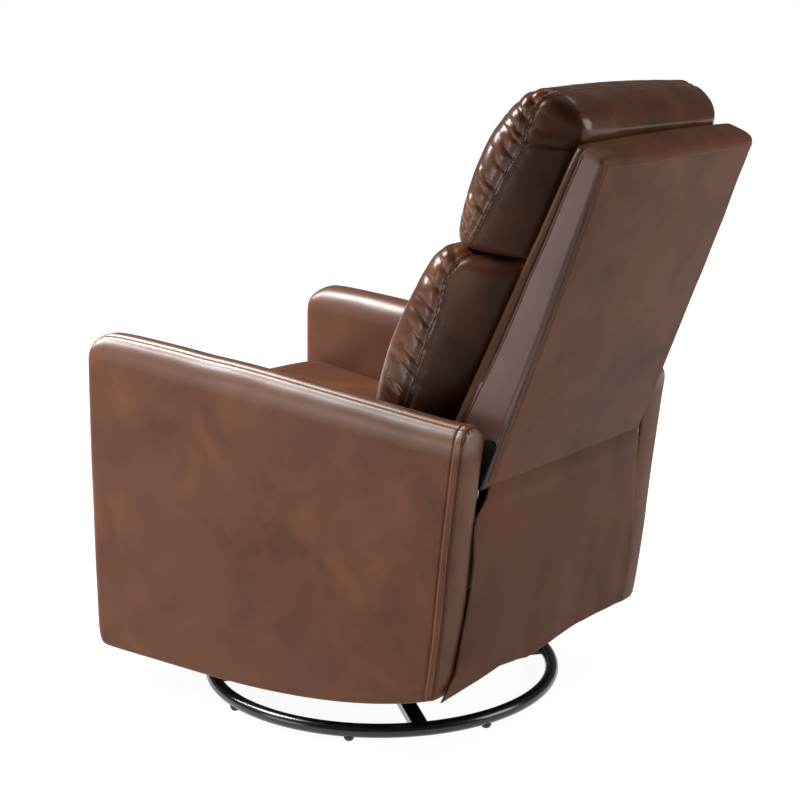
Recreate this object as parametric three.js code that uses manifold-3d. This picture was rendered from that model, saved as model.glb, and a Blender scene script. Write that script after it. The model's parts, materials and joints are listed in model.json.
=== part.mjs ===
// Swivel glider recliner with a ring base, glide links, folding footrest and reclining back.
// Millimetres, +Z up. The chair faces -Y, and +X is the sitter's left.
// The origin is on the floor, under the middle of the whole chair.

import * as THREE from 'three';
import { mergeVertices } from 'three/addons/utils/BufferGeometryUtils.js';
import Module from 'manifold-3d';

const wasm = await Module();
wasm.setup();

// Driving dimensions of the whole chair
const rearWidth = 620;
const armThickness = 62;
const armSplay = THREE.MathUtils.degToRad(1.3);
const armTopFrontZ = 635;
const armTopRearZ = 577;
const armFrontY = -403;
const armRearY = 398;
const armFootRearY = 343;
const armFootZ = 60;
const armFootRearZ = 126;
const seatTopZ = 502;
const seatRearTopZ = 440;
const backLength = 634;
const backLean = THREE.MathUtils.degToRad(25.9);
const backFootY = 257;
const backFootZ = 440;
const ringDiameter = 642;

// Fits and clearances
const fit = 0.3;
const pinClearance = 0.3;
const openPivotClearance = 0.6;
const layerGap = 2;
const overrun = 4;
const weld = 0.001;

// Fineness of round shapes
const ringSteps = 40;
const tubeSides = 8;
const pinSides = 12;
const raceSteps = 20;
const holeSteps = 16;
const barEndSteps = 5;

// Base ring, cross and feet
const ringTube = 24;
const footLift = 5.6;
const footCount = 8;
const footTopRadius = 9;
const footFloorRadius = 6.5;
const footTaper = 4;
const crossBarWidth = 27;
const crossBarHeight = 14;
const baseTurn = THREE.MathUtils.degToRad(5);
const hubRadius = 95;
const hubThickness = 5;

// Swivel bearing
const raceInnerRadius = 58;
const raceOuterRadius = 86;
const raceHeight = 6;
const raceGap = 2.4;
const ballRadius = 4.5;
const ballCount = 8;
const grooveClearance = 1.3;
const cageThickness = 1.2;
const cageWidth = 12;

// Swivel plate, brackets and ties
const swivelPlateThickness = 5;
const swivelPlateDepth = 270;
const swivelPlateCorner = 20;
const swivelPlateBore = 45;
const bracketX = 158;
const bracketThickness = 4;
const bracketFlange = 30;
const bracketRim = 18;
const bracketWindow = 38;
const tieRadius = 8;
const tieY = 80;
const tieLift = 98;

// Glide links
const glidePivotY = 115;
const glideTopZ = 195;
const glideLinkLength = 118;
const glideLinkWidth = 30;
const glideLinkThickness = 6;
const glidePinRadius = 6;
const glideHeadRadius = 9;
const headThickness = 2;

// Carriage under the seat
const carriageRailThickness = 4;
const carriageRailHalfHeight = 16;
const carriageTubeY = 205;
const carriageTubeZ = 120;
const carriageTubeRadius = 12.5;

// Seat box
const sidePanelX = 192;
const sidePanelThickness = 18;
const seatBoxFrontY = -258;
const seatBoxRearY = 262;
const seatBoxTopZ = 330;
const seatBoxFootZ = 98;
const sidePanelHole = 42;
const railThickness = 20;
const railHeight = 90;
const railInset = 2;
const stretcherDepth = 22;
const stretcherHeight = 40;
const stretcherFootZ = 140;

// Sinuous seat springs
const springCount = 4;
const springSpread = 300;
const springWire = 4;
const springAmplitude = 20;
const springWaves = 6;
const springStepsPerWave = 5;
const springSides = 4;

// Mechanism plates
const mechPlateThickness = 4;
const mechPlateRim = 18;
const mechPlateRearY = 292;
const mechPlateRearZ = 296;
const mechWindow = 44;
const mechWindowPitch = 150;
const armSpacerRadius = 12;
const armSpacerFrontY = -250;
const armSpacerRearY = 225;
const armSpacerZ = 215;

// Footrest tongs
const tongsPivotY = -290;
const tongsPivotZ = 300;
const tongsLength = 215;
const tongsTilt = THREE.MathUtils.degToRad(5);
const tongsStoredAngle = THREE.MathUtils.degToRad(6);
const tongsBarRadius = 9;
const tongsBarThickness = 4;
const tongsPinRadius = 5;
const tongsHeadRadius = 7;
const tongsHeadThickness = 1.2;
const torqueTubeRadius = 10;
const boardBackY = -366;
const boardThickness = 12;
const boardTopZ = 322;
const boardFootZ = 66;
const boardSideGap = 3;
const boardTabLength = 110;
const boardTabWidth = 26;
const webTopLift = 22;
const webFootLift = 70;
const padThickness = 25;
const padEdgeRadius = 14;
const padBackRadius = 1;

// Seat cushion
const cushionFrontY = -398;
const cushionRearY = 212;
const cushionSideGap = 9.5;
const cushionCrown = 10;
const cushionNose = 46;
const cushionHeelRadius = 20;
const cushionSideRadius = 24;
const cushionPeakY = -320;

// Arms
const armTopRadius = 30;
const armFrontRadius = 22;
const armRearRadius = 6;
const armFootRadius = 8;
const armFrontCorner = 56;
const armFrontBulge = 3;
const armFootCorner = 28;
const armRearCorner = 18;
const armRearFootCorner = 14;
const armTopArch = 5;
const armRearHollow = 2;
const armFootFlat = 250;

// Back frame
const backSideGap = 13;
const backTopDepth = 60;
const backHeelDepth = 105;
const backHeelLift = 86;
const backTopFrontCorner = 14;
const backTopRearCorner = 20;
const backEdgeRadius = 6;

// Recline pivot, measured in the back frame
const reclineDepth = 86;
const reclineLift = 66;
const reclinePinRadius = 6;
const reclineBossRadius = 12;
const reclineEarRadius = 16;
const backBracketThickness = 5;
const backBracketLength = 80;
const backBracketLean = THREE.MathUtils.degToRad(4);

// Pillows
const pillowSideGap = 17;
const pillowSeat = 0.6;
const pillowSplit = 388;
const pillowGap = 2;
const headPillowHeight = 291;
const headPillowDepth = 140;
const lumbarPillowHeight = 397;
const lumbarPillowDepth = 163;
const pillowFrontRadius = 44;
const pillowEdgeRadius = 24;
const pillowRearRadius = 10;
const pillowCrown = 9;
const pillowSideCrown = 7;

// Rear skirt
const skirtThickness = 5;
const skirtTopZ = 452;
const skirtFootZ = 133;
const skirtTopHalfWidth = 214;
const skirtShoulderHalfWidth = 233;
const skirtShoulderTopZ = 436;
const skirtShoulderFootZ = 398;
const skirtFootHalfWidth = 285;
const skirtArmGap = 2;
const skirtTopGap = 6.5;

// Release pull
const pullY = -122;
const pullWidth = 52;
const pullThickness = 4;
const pullTopZ = 505;
const pullNeckZ = 352;
const pullFootZ = 256;
const pullNeckWidth = 14;
const pullCorner = 12;
const guideHeight = 30;
const guideFootZ = 270;
const guideWall = 6;
const cableRadius = 2;
const cableFall = 30;
const cableSteps = 14;
const cableSides = 6;

// Worked out from the sizes above
const halfWidth = rearWidth / 2;
const armInnerX = halfWidth - armThickness;
const backHalfWidth = armInnerX - backSideGap;
const pillowHalfWidth = armInnerX - pillowSideGap;
const ringRadius = (ringDiameter - ringTube) / 2;
const ringZ = footLift + ringTube / 2;
const hubTopZ = ringZ + crossBarHeight / 2 + hubThickness;
const lowerRaceZ = hubTopZ + fit;
const ballZ = lowerRaceZ + raceHeight + raceGap / 2;
const upperRaceZ = ballZ + raceGap / 2;
const swivelPlateZ = upperRaceZ + raceHeight + fit;
const bracketFootZ = swivelPlateZ + swivelPlateThickness + fit;
const raceMidRadius = (raceInnerRadius + raceOuterRadius) / 2;
const glideBottomZ = glideTopZ - glideLinkLength;
const linkX = bracketX + bracketThickness + layerGap;
const carriageX = linkX + glideLinkThickness + layerGap;
const mechPlateOuterX = armInnerX - fit;
const mechPlateX = mechPlateOuterX - mechPlateThickness;
const outerBarX = mechPlateX - layerGap - tongsHeadThickness - tongsBarThickness;
const innerBarX = outerBarX - layerGap - tongsBarThickness;
const springTopZ = seatBoxTopZ + fit + springWire;
const cushionBottomZ = springTopZ + fit;
const cushionHalfWidth = armInnerX - cushionSideGap;
const panelOuterX = sidePanelX + sidePanelThickness;
const pullOuterX = mechPlateX - fit;
const pullInnerX = pullOuterX - pullThickness;

// Materials
const leather = new THREE.MeshStandardMaterial({ color: 0x6b4a3c, roughness: 0.42, metalness: 0 });
const pillowLeather = new THREE.MeshStandardMaterial({ color: 0x744528, roughness: 0.3, metalness: 0 });
const blackEnamel = new THREE.MeshStandardMaterial({ color: 0x0c0c0d, roughness: 0.25, metalness: 0.4 });
const steel = new THREE.MeshStandardMaterial({ color: 0x8b8d90, roughness: 0.4, metalness: 0.9 });
const darkSteel = new THREE.MeshStandardMaterial({ color: 0x2b2c2e, roughness: 0.5, metalness: 0.7 });
const plywood = new THREE.MeshStandardMaterial({ color: 0xb98f5e, roughness: 0.7, metalness: 0 });
const blackPlastic = new THREE.MeshStandardMaterial({ color: 0x151515, roughness: 0.5, metalness: 0 });

// Turns a side outline, drawn as (y, z), into a solid that runs along x
const sideBasis = new THREE.Matrix4().makeBasis(
  new THREE.Vector3(0, 1, 0), new THREE.Vector3(0, 0, 1), new THREE.Vector3(1, 0, 0));

function closedGeometry(geometry) {
  const bare = new THREE.BufferGeometry();
  bare.setAttribute('position', geometry.getAttribute('position').clone());
  if (geometry.index) bare.setIndex(geometry.index.clone());
  const merged = mergeVertices(bare, weld);
  const kept = [];
  const index = merged.index.array;
  for (let i = 0; i < index.length; i += 3) {
    const [a, b, c] = [index[i], index[i + 1], index[i + 2]];
    if (a !== b && b !== c && c !== a) kept.push(a, b, c);
  }
  merged.setIndex(kept);
  return merged;
}

function solidOf(geometry) {
  const closed = closedGeometry(geometry);
  return new wasm.Manifold(new wasm.Mesh({
    numProp: 3,
    vertProperties: Float32Array.from(closed.getAttribute('position').array),
    triVerts: Uint32Array.from(closed.index.array),
  }));
}

function geometryOf(solid) {
  const mesh = solid.getMesh();
  const positions = new Float32Array(mesh.numVert * 3);
  for (let i = 0; i < mesh.numVert; i += 1) {
    for (let k = 0; k < 3; k += 1) positions[i * 3 + k] = mesh.vertProperties[i * mesh.numProp + k];
  }
  const geometry = new THREE.BufferGeometry();
  geometry.setAttribute('position', new THREE.BufferAttribute(positions, 3));
  geometry.setIndex(Array.from(mesh.triVerts));
  return geometry;
}

function joined(...geometries) {
  return geometryOf(geometries.map(solidOf).reduce((whole, next) => whole.add(next)));
}

function cut(geometry, ...tools) {
  return geometryOf(tools.map(solidOf).reduce((rest, tool) => rest.subtract(tool), solidOf(geometry)));
}

// A mirror copy for the other side of the chair
function mirrored(geometry) {
  const copy = closedGeometry(geometry).applyMatrix4(new THREE.Matrix4().makeScale(-1, 1, 1));
  const index = Array.from(copy.index.array);
  for (let i = 0; i < index.length; i += 3) [index[i], index[i + 1]] = [index[i + 1], index[i]];
  copy.setIndex(index);
  return copy;
}

function box(lowX, highX, lowY, highY, lowZ, highZ) {
  const geometry = new THREE.BoxGeometry(highX - lowX, highY - lowY, highZ - lowZ);
  return geometry.translate((lowX + highX) / 2, (lowY + highY) / 2, (lowZ + highZ) / 2);
}

// A round pin or tube along x
function pin(radius, fromX, toX, y, z, sides = pinSides) {
  const geometry = new THREE.CylinderGeometry(radius, radius, toX - fromX, sides);
  return geometry.rotateZ(Math.PI / 2).translate((fromX + toX) / 2, y, z);
}

function roundHole(y, z, radius, sides = pinSides) {
  const points = [];
  for (let i = 0; i < sides; i += 1) {
    const angle = -i * 2 * Math.PI / sides;
    points.push(new THREE.Vector2(y + radius * Math.cos(angle), z + radius * Math.sin(angle)));
  }
  return new THREE.Path(points);
}

// The outline of a flat strap with round ends and mitred bends, of one half width along its knots
function strapShape(knots, halfWidth) {
  const quarter = Math.PI / 2;
  const angles = knots.slice(1).map((knot, i) => Math.atan2(knot.y - knots[i].y, knot.x - knots[i].x));
  const [first, last] = [angles[0], angles[angles.length - 1]];
  const bends = knots.slice(1, -1).map((knot, i) => {
    const mean = (angles[i] + angles[i + 1]) / 2;
    const mitre = halfWidth / Math.cos((angles[i + 1] - angles[i]) / 2);
    return new THREE.Vector2(Math.sin(mean), -Math.cos(mean)).multiplyScalar(mitre);
  });
  const shape = new THREE.Shape();
  shape.absarc(knots[0].x, knots[0].y, halfWidth, first + quarter, first + 3 * quarter, false);
  bends.forEach((bend, i) => shape.lineTo(knots[i + 1].x + bend.x, knots[i + 1].y + bend.y));
  const end = knots[knots.length - 1];
  shape.absarc(end.x, end.y, halfWidth, last - quarter, last + quarter, false);
  for (let i = bends.length - 1; i >= 0; i -= 1) {
    shape.lineTo(knots[i + 1].x - bends[i].x, knots[i + 1].y - bends[i].y);
  }
  shape.closePath();
  return shape;
}

function barShape(p, q, halfWidth) {
  return strapShape([p, q], halfWidth);
}

function sidePlate(shape, innerX, thickness) {
  const options = { depth: thickness, bevelEnabled: false, curveSegments: barEndSteps };
  return new THREE.ExtrudeGeometry(shape, options).applyMatrix4(sideBasis).translate(innerX, 0, 0);
}

function lathe(profile, steps) {
  const points = profile.map(([r, z]) => new THREE.Vector2(r, z));
  return new THREE.LatheGeometry(points, steps).rotateX(Math.PI / 2);
}

// Outward unit normals of a closed outline that runs counter-clockwise
function outlineNormals(outline) {
  return outline.map((point, i) => {
    const before = outline[(i + outline.length - 1) % outline.length];
    const after = outline[(i + 1) % outline.length];
    const along = after.clone().sub(before);
    return new THREE.Vector2(along.y, -along.x).normalize();
  });
}

// Stations across a soft slab, as shares of its half width
const slabStationShares = [0, 0.45, 0.72, 0.84, 0.91, 0.96, 0.99, 1];

// Rings on the swollen ends of a soft slab, as shares of the way out from their middle
const capRingShares = [0.86, 0.5];

// A soft slab across x: a side outline (y, z), drawn in at both ends by a quarter round whose radius
// depends on the outline's normal, swollen by up to crown in its middle and by sideCrown at its ends
function softSlab(outline, slabHalfWidth, radiusAt, crownAt, sideCrown) {
  const normals = outlineNormals(outline);
  const shares = [...slabStationShares.slice(1).map((share) => -share).reverse(), ...slabStationShares];
  const positions = [];
  for (const share of shares) {
    const x = share * slabHalfWidth;
    outline.forEach((point, i) => {
      const radius = radiusAt(normals[i]);
      const past = Math.max(0, Math.abs(x) - (slabHalfWidth - radius));
      const drawnIn = radius - Math.sqrt(Math.max(0, radius * radius - past * past));
      const swell = crownAt(normals[i]) * (1 - share * share);
      const moved = point.clone().addScaledVector(normals[i], swell - drawnIn);
      positions.push(x, moved.x, moved.y);
    });
  }
  const count = outline.length;
  const index = [];
  for (let s = 0; s + 1 < shares.length; s += 1) {
    for (let i = 0; i < count; i += 1) {
      const a = s * count + i;
      const b = s * count + (i + 1) % count;
      index.push(a, b, b + count, a, b + count, a + count);
    }
  }
  const rings = sideCrown > 0 ? capRingShares : [];
  const caps = [[-1, 0], [1, (shares.length - 1) * count]];
  for (const [side, edge] of caps) {
    const facing = (a, b, c) => index.push(a, side > 0 ? b : c, side > 0 ? c : b);
    const rim = outline.map((point, i) => new THREE.Vector2().fromArray(positions, 3 * (edge + i) + 1));
    const middle = new THREE.Box2().setFromPoints(rim).getCenter(new THREE.Vector2());
    let first = edge;
    for (const share of rings) {
      const next = positions.length / 3;
      const x = side * (slabHalfWidth + sideCrown * (1 - share * share));
      for (let i = 0; i < count; i += 1) {
        const moved = middle.clone().lerp(rim[i], share);
        positions.push(x, moved.x, moved.y);
        facing(first + i, first + (i + 1) % count, next + (i + 1) % count);
        facing(first + i, next + (i + 1) % count, next + i);
      }
      first = next;
    }
    const centre = positions.length / 3;
    positions.push(side * (slabHalfWidth + sideCrown), middle.x, middle.y);
    for (let i = 0; i < count; i += 1) facing(centre, first + i, first + (i + 1) % count);
  }
  const geometry = new THREE.BufferGeometry();
  geometry.setAttribute('position', new THREE.Float32BufferAttribute(positions, 3));
  geometry.setIndex(index);
  return geometry;
}

// A closed smooth outline through hand-placed points, given as shares of a width and a height
function smoothOutline(shares, width, height, steps) {
  const points = shares.map(([a, b]) => new THREE.Vector3(a * width, b * height, 0));
  const curve = new THREE.CatmullRomCurve3(points, true, 'centripetal');
  return curve.getPoints(steps).slice(0, steps).map((p) => new THREE.Vector2(Math.min(p.x, 0), p.y));
}

// The same outline without repeated points, running counter-clockwise
function tidyOutline(points) {
  const apart = points.filter((p, i) => p.distanceTo(points[(i + 1) % points.length]) > weld);
  return THREE.ShapeUtils.isClockWise(apart) ? apart.reverse() : apart;
}

const chair = new THREE.Group();

function addMesh(parent, name, geometry, material) {
  const mesh = new THREE.Mesh(closedGeometry(geometry), material.clone());
  mesh.name = name;
  parent.add(mesh);
  return mesh;
}

function addPair(parent, name, geometry, material) {
  addMesh(parent, `${name}_left`, geometry, material);
  addMesh(parent, `${name}_right`, mirrored(geometry), material);
}

// Base: ring, cross with hub disc, and feet that seat against the tube
function baseRing(radius) {
  return new THREE.TorusGeometry(ringRadius, radius, tubeSides, ringSteps).translate(0, 0, ringZ);
}

function baseCross() {
  const bar = new THREE.BoxGeometry(2 * ringRadius, crossBarWidth, crossBarHeight).translate(0, 0, ringZ);
  const hub = lathe([[0, hubTopZ - hubThickness], [hubRadius, hubTopZ - hubThickness],
    [hubRadius, hubTopZ], [0, hubTopZ]], raceSteps);
  const cross = joined(bar.clone().rotateZ(Math.PI / 4), bar.clone().rotateZ(-Math.PI / 4), hub);
  return cut(cross, baseRing(ringTube / 2 + fit));
}

function foot() {
  const profile = [[0, 0], [footFloorRadius, 0], [footTopRadius, footTaper],
    [footTopRadius, ringZ], [0, ringZ]];
  const turned = lathe(profile, pinSides).translate(ringRadius, 0, 0).rotateZ(Math.PI / footCount);
  return cut(turned, baseRing(ringTube / 2 + fit));
}

const base = new THREE.Group();
base.rotation.z = baseTurn;
chair.add(base);
addMesh(base, 'base_ring', baseRing(ringTube / 2), blackEnamel);
addMesh(base, 'base_cross', baseCross(), blackEnamel);
const footGeometry = foot();
for (let i = 0; i < footCount; i += 1) {
  const mesh = addMesh(base, `foot_${i + 1}`, footGeometry, blackPlastic);
  mesh.rotation.z = i * 2 * Math.PI / footCount;
}

// Swivel bearing: two grooved races and a cage of balls between them
function race(lowZ, highZ, grooveUp) {
  const radius = ballRadius + grooveClearance;
  const faceZ = grooveUp ? highZ : lowZ;
  const depth = Math.abs(faceZ - ballZ);
  const half = Math.acos(depth / radius);
  const groove = [];
  const grooveSteps = 3;
  for (let i = 0; i <= grooveSteps; i += 1) {
    const angle = half - i * 2 * half / grooveSteps;
    const drop = radius * Math.cos(angle);
    groove.push([raceMidRadius + radius * Math.sin(angle), grooveUp ? ballZ - drop : ballZ + drop]);
  }
  const farZ = grooveUp ? lowZ : highZ;
  const profile = [[raceInnerRadius, farZ], [raceOuterRadius, farZ], [raceOuterRadius, faceZ],
    ...groove, [raceInnerRadius, faceZ], [raceInnerRadius, farZ]];
  return lathe(grooveUp ? profile : profile.reverse(), raceSteps);
}

function ballCage() {
  const [low, high] = [ballZ - cageThickness / 2, ballZ + cageThickness / 2];
  const [inner, outer] = [raceMidRadius - cageWidth / 2, raceMidRadius + cageWidth / 2];
  const washer = lathe([[inner, low], [outer, low], [outer, high], [inner, high], [inner, low]], raceSteps);
  const balls = [];
  for (let i = 0; i < ballCount; i += 1) {
    const ball = new THREE.SphereGeometry(ballRadius, 6, 4).rotateX(Math.PI / 2);
    balls.push(ball.translate(raceMidRadius, 0, ballZ).rotateZ(i * 2 * Math.PI / ballCount));
  }
  return joined(washer, ...balls);
}

addMesh(base, 'bearing_lower_race', race(lowerRaceZ, lowerRaceZ + raceHeight, true), steel);
addMesh(base, 'bearing_ball_cage', ballCage(), steel);

// Swivel: upper race, plate, two upright brackets and two ties
const swivel = new THREE.Group();
chair.add(swivel);
addMesh(swivel, 'bearing_upper_race', race(upperRaceZ, upperRaceZ + raceHeight, false), steel);

function swivelPlate() {
  const [a, b] = [bracketX + bracketThickness, swivelPlateDepth / 2];
  const shape = new THREE.Shape();
  const corners = [[a, b, 0], [-a, b, 1], [-a, -b, 2], [a, -b, 3]];
  for (const [x, y, quarter] of corners) {
    const centreX = x - Math.sign(x) * swivelPlateCorner;
    const centreY = y - Math.sign(y) * swivelPlateCorner;
    const start = quarter * Math.PI / 2;
    shape.absarc(centreX, centreY, swivelPlateCorner, start, start + Math.PI / 2, false);
  }
  shape.closePath();
  shape.holes.push(roundHole(0, 0, swivelPlateBore, raceSteps));
  const options = { depth: swivelPlateThickness, bevelEnabled: false, curveSegments: barEndSteps };
  return new THREE.ExtrudeGeometry(shape, options).translate(0, 0, swivelPlateZ);
}

function gliderBracket() {
  const [outer, top] = [glidePivotY + bracketRim, glideTopZ];
  const shape = new THREE.Shape();
  shape.moveTo(-outer, bracketFootZ);
  shape.lineTo(outer, bracketFootZ);
  shape.absarc(glidePivotY, top, bracketRim, 0, Math.PI / 2, false);
  shape.absarc(-glidePivotY, top, bracketRim, Math.PI / 2, Math.PI, false);
  shape.closePath();
  const pinHole = glidePinRadius + pinClearance;
  shape.holes.push(roundHole(-glidePivotY, top, pinHole), roundHole(glidePivotY, top, pinHole));
  const windowZ = (bracketFootZ + top) / 2;
  shape.holes.push(roundHole(0, windowZ, bracketWindow, holeSteps));
  const plate = sidePlate(shape, bracketX, bracketThickness);
  const flange = box(bracketX - bracketFlange, bracketX + bracketThickness / 2, -glidePivotY, glidePivotY,
    bracketFootZ, bracketFootZ + bracketThickness);
  return joined(plate, flange);
}

addMesh(swivel, 'swivel_plate', swivelPlate(), darkSteel);
addPair(swivel, 'glider_bracket', gliderBracket(), darkSteel);
for (const [name, y] of [['front', -tieY], ['rear', tieY]]) {
  const reach = bracketX - fit;
  addMesh(swivel, `glider_tie_${name}`, pin(tieRadius, -reach, reach, y, bracketFootZ + tieLift), darkSteel);
}

// Glide links: each hangs by its upper pin in a bracket and carries the carriage on its lower pin
function glideLink(y) {
  const [top, bottom] = [new THREE.Vector2(y, glideTopZ), new THREE.Vector2(y, glideBottomZ)];
  const bar = sidePlate(barShape(top, bottom, glideLinkWidth / 2), linkX, glideLinkThickness);
  const middleX = linkX + glideLinkThickness / 2;
  const innerEnd = bracketX - fit;
  const outerEnd = carriageX + carriageRailThickness + fit;
  return joined(
    bar,
    pin(glidePinRadius, innerEnd - headThickness, middleX, top.x, top.y),
    pin(glideHeadRadius, innerEnd - headThickness, innerEnd, top.x, top.y),
    pin(glidePinRadius, middleX, outerEnd + headThickness, bottom.x, bottom.y),
    pin(glideHeadRadius, outerEnd, outerEnd + headThickness, bottom.x, bottom.y),
  );
}

const glideLinks = new THREE.Group();
swivel.add(glideLinks);
addPair(glideLinks, 'glide_link_front', glideLink(-glidePivotY), steel);
addPair(glideLinks, 'glide_link_rear', glideLink(glidePivotY), steel);

// Carriage: two rails that hang on the links and two tubes that carry the seat
function carriageRail() {
  const knots = [[-carriageTubeY, carriageTubeZ], [-glidePivotY, glideBottomZ],
    [glidePivotY, glideBottomZ], [carriageTubeY, carriageTubeZ]].map(([y, z]) => new THREE.Vector2(y, z));
  const strap = sidePlate(strapShape(knots, carriageRailHalfHeight), carriageX, carriageRailThickness);
  const [low, high] = [carriageX - overrun, carriageX + carriageRailThickness + overrun];
  const frontHole = pin(glidePinRadius + pinClearance, low, high, -glidePivotY, glideBottomZ);
  const rearHole = pin(glidePinRadius + openPivotClearance, low, high, glidePivotY, glideBottomZ);
  const tubeHoles = [-carriageTubeY, carriageTubeY].map((y) => pin(
    carriageTubeRadius + pinClearance, low, high, y, carriageTubeZ, holeSteps));
  return cut(strap, frontHole, rearHole, ...tubeHoles);
}

const seat = new THREE.Group();
swivel.add(seat);
addPair(seat, 'carriage_rail', carriageRail(), darkSteel);
for (const [name, y] of [['front', -carriageTubeY], ['rear', carriageTubeY]]) {
  const reach = mechPlateX - fit;
  const tube = pin(carriageTubeRadius, -reach, reach, y, carriageTubeZ, holeSteps);
  addMesh(seat, `carriage_tube_${name}`, tube, darkSteel);
}

// Seat box: side panels on the tubes, front and rear rails between them
function sidePanel() {
  const shape = new THREE.Shape();
  shape.moveTo(seatBoxFrontY, seatBoxTopZ);
  shape.lineTo(seatBoxFrontY, seatBoxTopZ - railHeight);
  shape.lineTo(-carriageTubeY - 2 * carriageTubeRadius, seatBoxFootZ);
  shape.lineTo(carriageTubeY + 2 * carriageTubeRadius, seatBoxFootZ);
  shape.lineTo(seatBoxRearY, seatBoxTopZ - railHeight);
  shape.lineTo(seatBoxRearY, seatBoxTopZ);
  shape.closePath();
  const holeZ = (seatBoxTopZ + seatBoxFootZ) / 2;
  for (const y of [-carriageTubeY / 2, 0, carriageTubeY / 2]) {
    shape.holes.push(roundHole(y, holeZ, sidePanelHole, holeSteps));
  }
  for (const y of [-carriageTubeY, carriageTubeY]) {
    shape.holes.push(roundHole(y, carriageTubeZ, carriageTubeRadius + pinClearance, holeSteps));
  }
  return sidePlate(shape, sidePanelX, sidePanelThickness);
}

addPair(seat, 'seat_side_panel', sidePanel(), plywood);
const railReach = sidePanelX - fit;
const railFoot = seatBoxTopZ - railHeight;
const frontRailY = seatBoxFrontY + railInset;
addMesh(seat, 'seat_front_rail',
  box(-railReach, railReach, frontRailY, frontRailY + railThickness, railFoot, seatBoxTopZ), plywood);
const rearRailY = seatBoxRearY - railInset;
addMesh(seat, 'seat_rear_rail',
  box(-railReach, railReach, rearRailY - railThickness, rearRailY, railFoot, seatBoxTopZ), plywood);

// Sinuous springs from rail to rail
function seatSpring(x) {
  const points = [];
  const count = springWaves * springStepsPerWave;
  const [startY, endY] = [frontRailY + springWire, rearRailY - springWire];
  for (let i = 0; i <= count; i += 1) {
    const phase = 2 * Math.PI * i / springStepsPerWave;
    const y = startY + (endY - startY) * i / count;
    points.push(new THREE.Vector3(x + springAmplitude * Math.sin(phase), y, 0));
  }
  const wire = new THREE.Shape();
  for (let i = 0; i < springSides; i += 1) {
    const angle = 2 * Math.PI * i / springSides;
    const [a, b] = [springWire / 2 * Math.cos(angle), springWire / 2 * Math.sin(angle)];
    if (i === 0) wire.moveTo(a, b);
    else wire.lineTo(a, b);
  }
  wire.closePath();
  const extrudePath = new THREE.CatmullRomCurve3(points);
  const geometry = new THREE.ExtrudeGeometry(wire, { steps: count, bevelEnabled: false, extrudePath });
  return geometry.translate(0, 0, seatBoxTopZ + fit + springWire / 2);
}

for (let i = 0; i < springCount; i += 1) {
  const x = springSpread * (i / (springCount - 1) - 1 / 2);
  addMesh(seat, `seat_spring_${i + 1}`, seatSpring(x), steel);
}

// Where the inner face of an arm lies: the arms stand further apart toward the front
function armInnerXAt(y) {
  return armInnerX + (armRearY - y) * Math.tan(armSplay);
}

// Spreads a piece across x by as much as the arms stand apart at each y
function spreadWithArms(geometry) {
  const positions = geometry.getAttribute('position');
  for (let i = 0; i < positions.count; i += 1) {
    positions.setX(i, positions.getX(i) * armInnerXAt(positions.getY(i)) / armInnerX);
  }
  return geometry;
}

// Footrest tongs: places measured from their fixed pivot, u forward and w up, at the tongs' tilt
function tongsPoint(u, w) {
  return new THREE.Vector2(
    tongsPivotY - u * Math.cos(tongsTilt) + w * Math.sin(tongsTilt),
    tongsPivotZ + u * Math.sin(tongsTilt) + w * Math.cos(tongsTilt));
}

const tongsStep = tongsLength * Math.sin(tongsStoredAngle);
const tongsDrop = tongsLength * Math.cos(tongsStoredAngle);
const fixedPivot = tongsPoint(0, 0);
const slotStart = tongsPoint(0, -tongsDrop);
const slotEnd = tongsPoint(0, -tongsStep);
const upperPivot = tongsPoint(tongsStep, 0);
const lowerPivot = tongsPoint(tongsStep, -tongsDrop);
const crossPivot = tongsPoint(tongsStep / 2, -tongsDrop / 2);
const openPivot = tongsPoint(1.5 * tongsStep, -tongsDrop / 2);
const farEnd = tongsPoint(2 * tongsStep, -tongsDrop);

// Recline pivot in chair coordinates, from its place in the back frame
const reclinePivot = new THREE.Vector2(
  backFootY + reclineLift * Math.sin(backLean) + reclineDepth * Math.cos(backLean),
  backFootZ + reclineLift * Math.cos(backLean) - reclineDepth * Math.sin(backLean));

// Mechanism plates: guide slot in front, lightening holes, recline ear behind, spacers for the arms
function mechanismPlate() {
  const body = new THREE.Shape();
  const footZ = carriageTubeZ - mechPlateRim;
  const topZ = tongsPivotZ + mechPlateRim;
  body.moveTo(slotStart.x, footZ);
  body.lineTo(carriageTubeY + mechPlateRim, footZ);
  body.lineTo(mechPlateRearY + mechPlateRim, mechPlateRearZ);
  body.lineTo(mechPlateRearY - mechPlateRim, topZ);
  body.lineTo(tongsPivotY, topZ);
  body.closePath();
  for (let i = -1; i <= 1; i += 1) {
    body.holes.push(roundHole(i * mechWindowPitch, (footZ + topZ) / 2, mechWindow, holeSteps));
  }
  const slotBar = barShape(fixedPivot, slotStart, mechPlateRim);
  const earRoot = new THREE.Vector2(mechPlateRearY, mechPlateRearZ);
  const spacers = [armSpacerFrontY, armSpacerRearY].map((y) => pin(
    armSpacerRadius, mechPlateX, armInnerXAt(y + armSpacerRadius) - fit, y, armSpacerZ, holeSteps));
  const plate = joined(
    sidePlate(body, mechPlateX, mechPlateThickness),
    sidePlate(slotBar, mechPlateX, mechPlateThickness),
    sidePlate(barShape(earRoot, reclinePivot, reclineEarRadius), mechPlateX, mechPlateThickness),
    ...spacers,
  );
  const [low, high] = [mechPlateX - overrun, mechPlateOuterX + overrun];
  const slot = sidePlate(barShape(slotStart, slotEnd, tongsPinRadius + openPivotClearance), low, high - low);
  return cut(
    plate,
    slot,
    pin(tongsPinRadius + pinClearance, low, high, fixedPivot.x, fixedPivot.y),
    pin(reclinePinRadius + pinClearance, low, high, reclinePivot.x, reclinePivot.y),
  );
}

addPair(seat, 'mechanism_plate', mechanismPlate(), steel);

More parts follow.
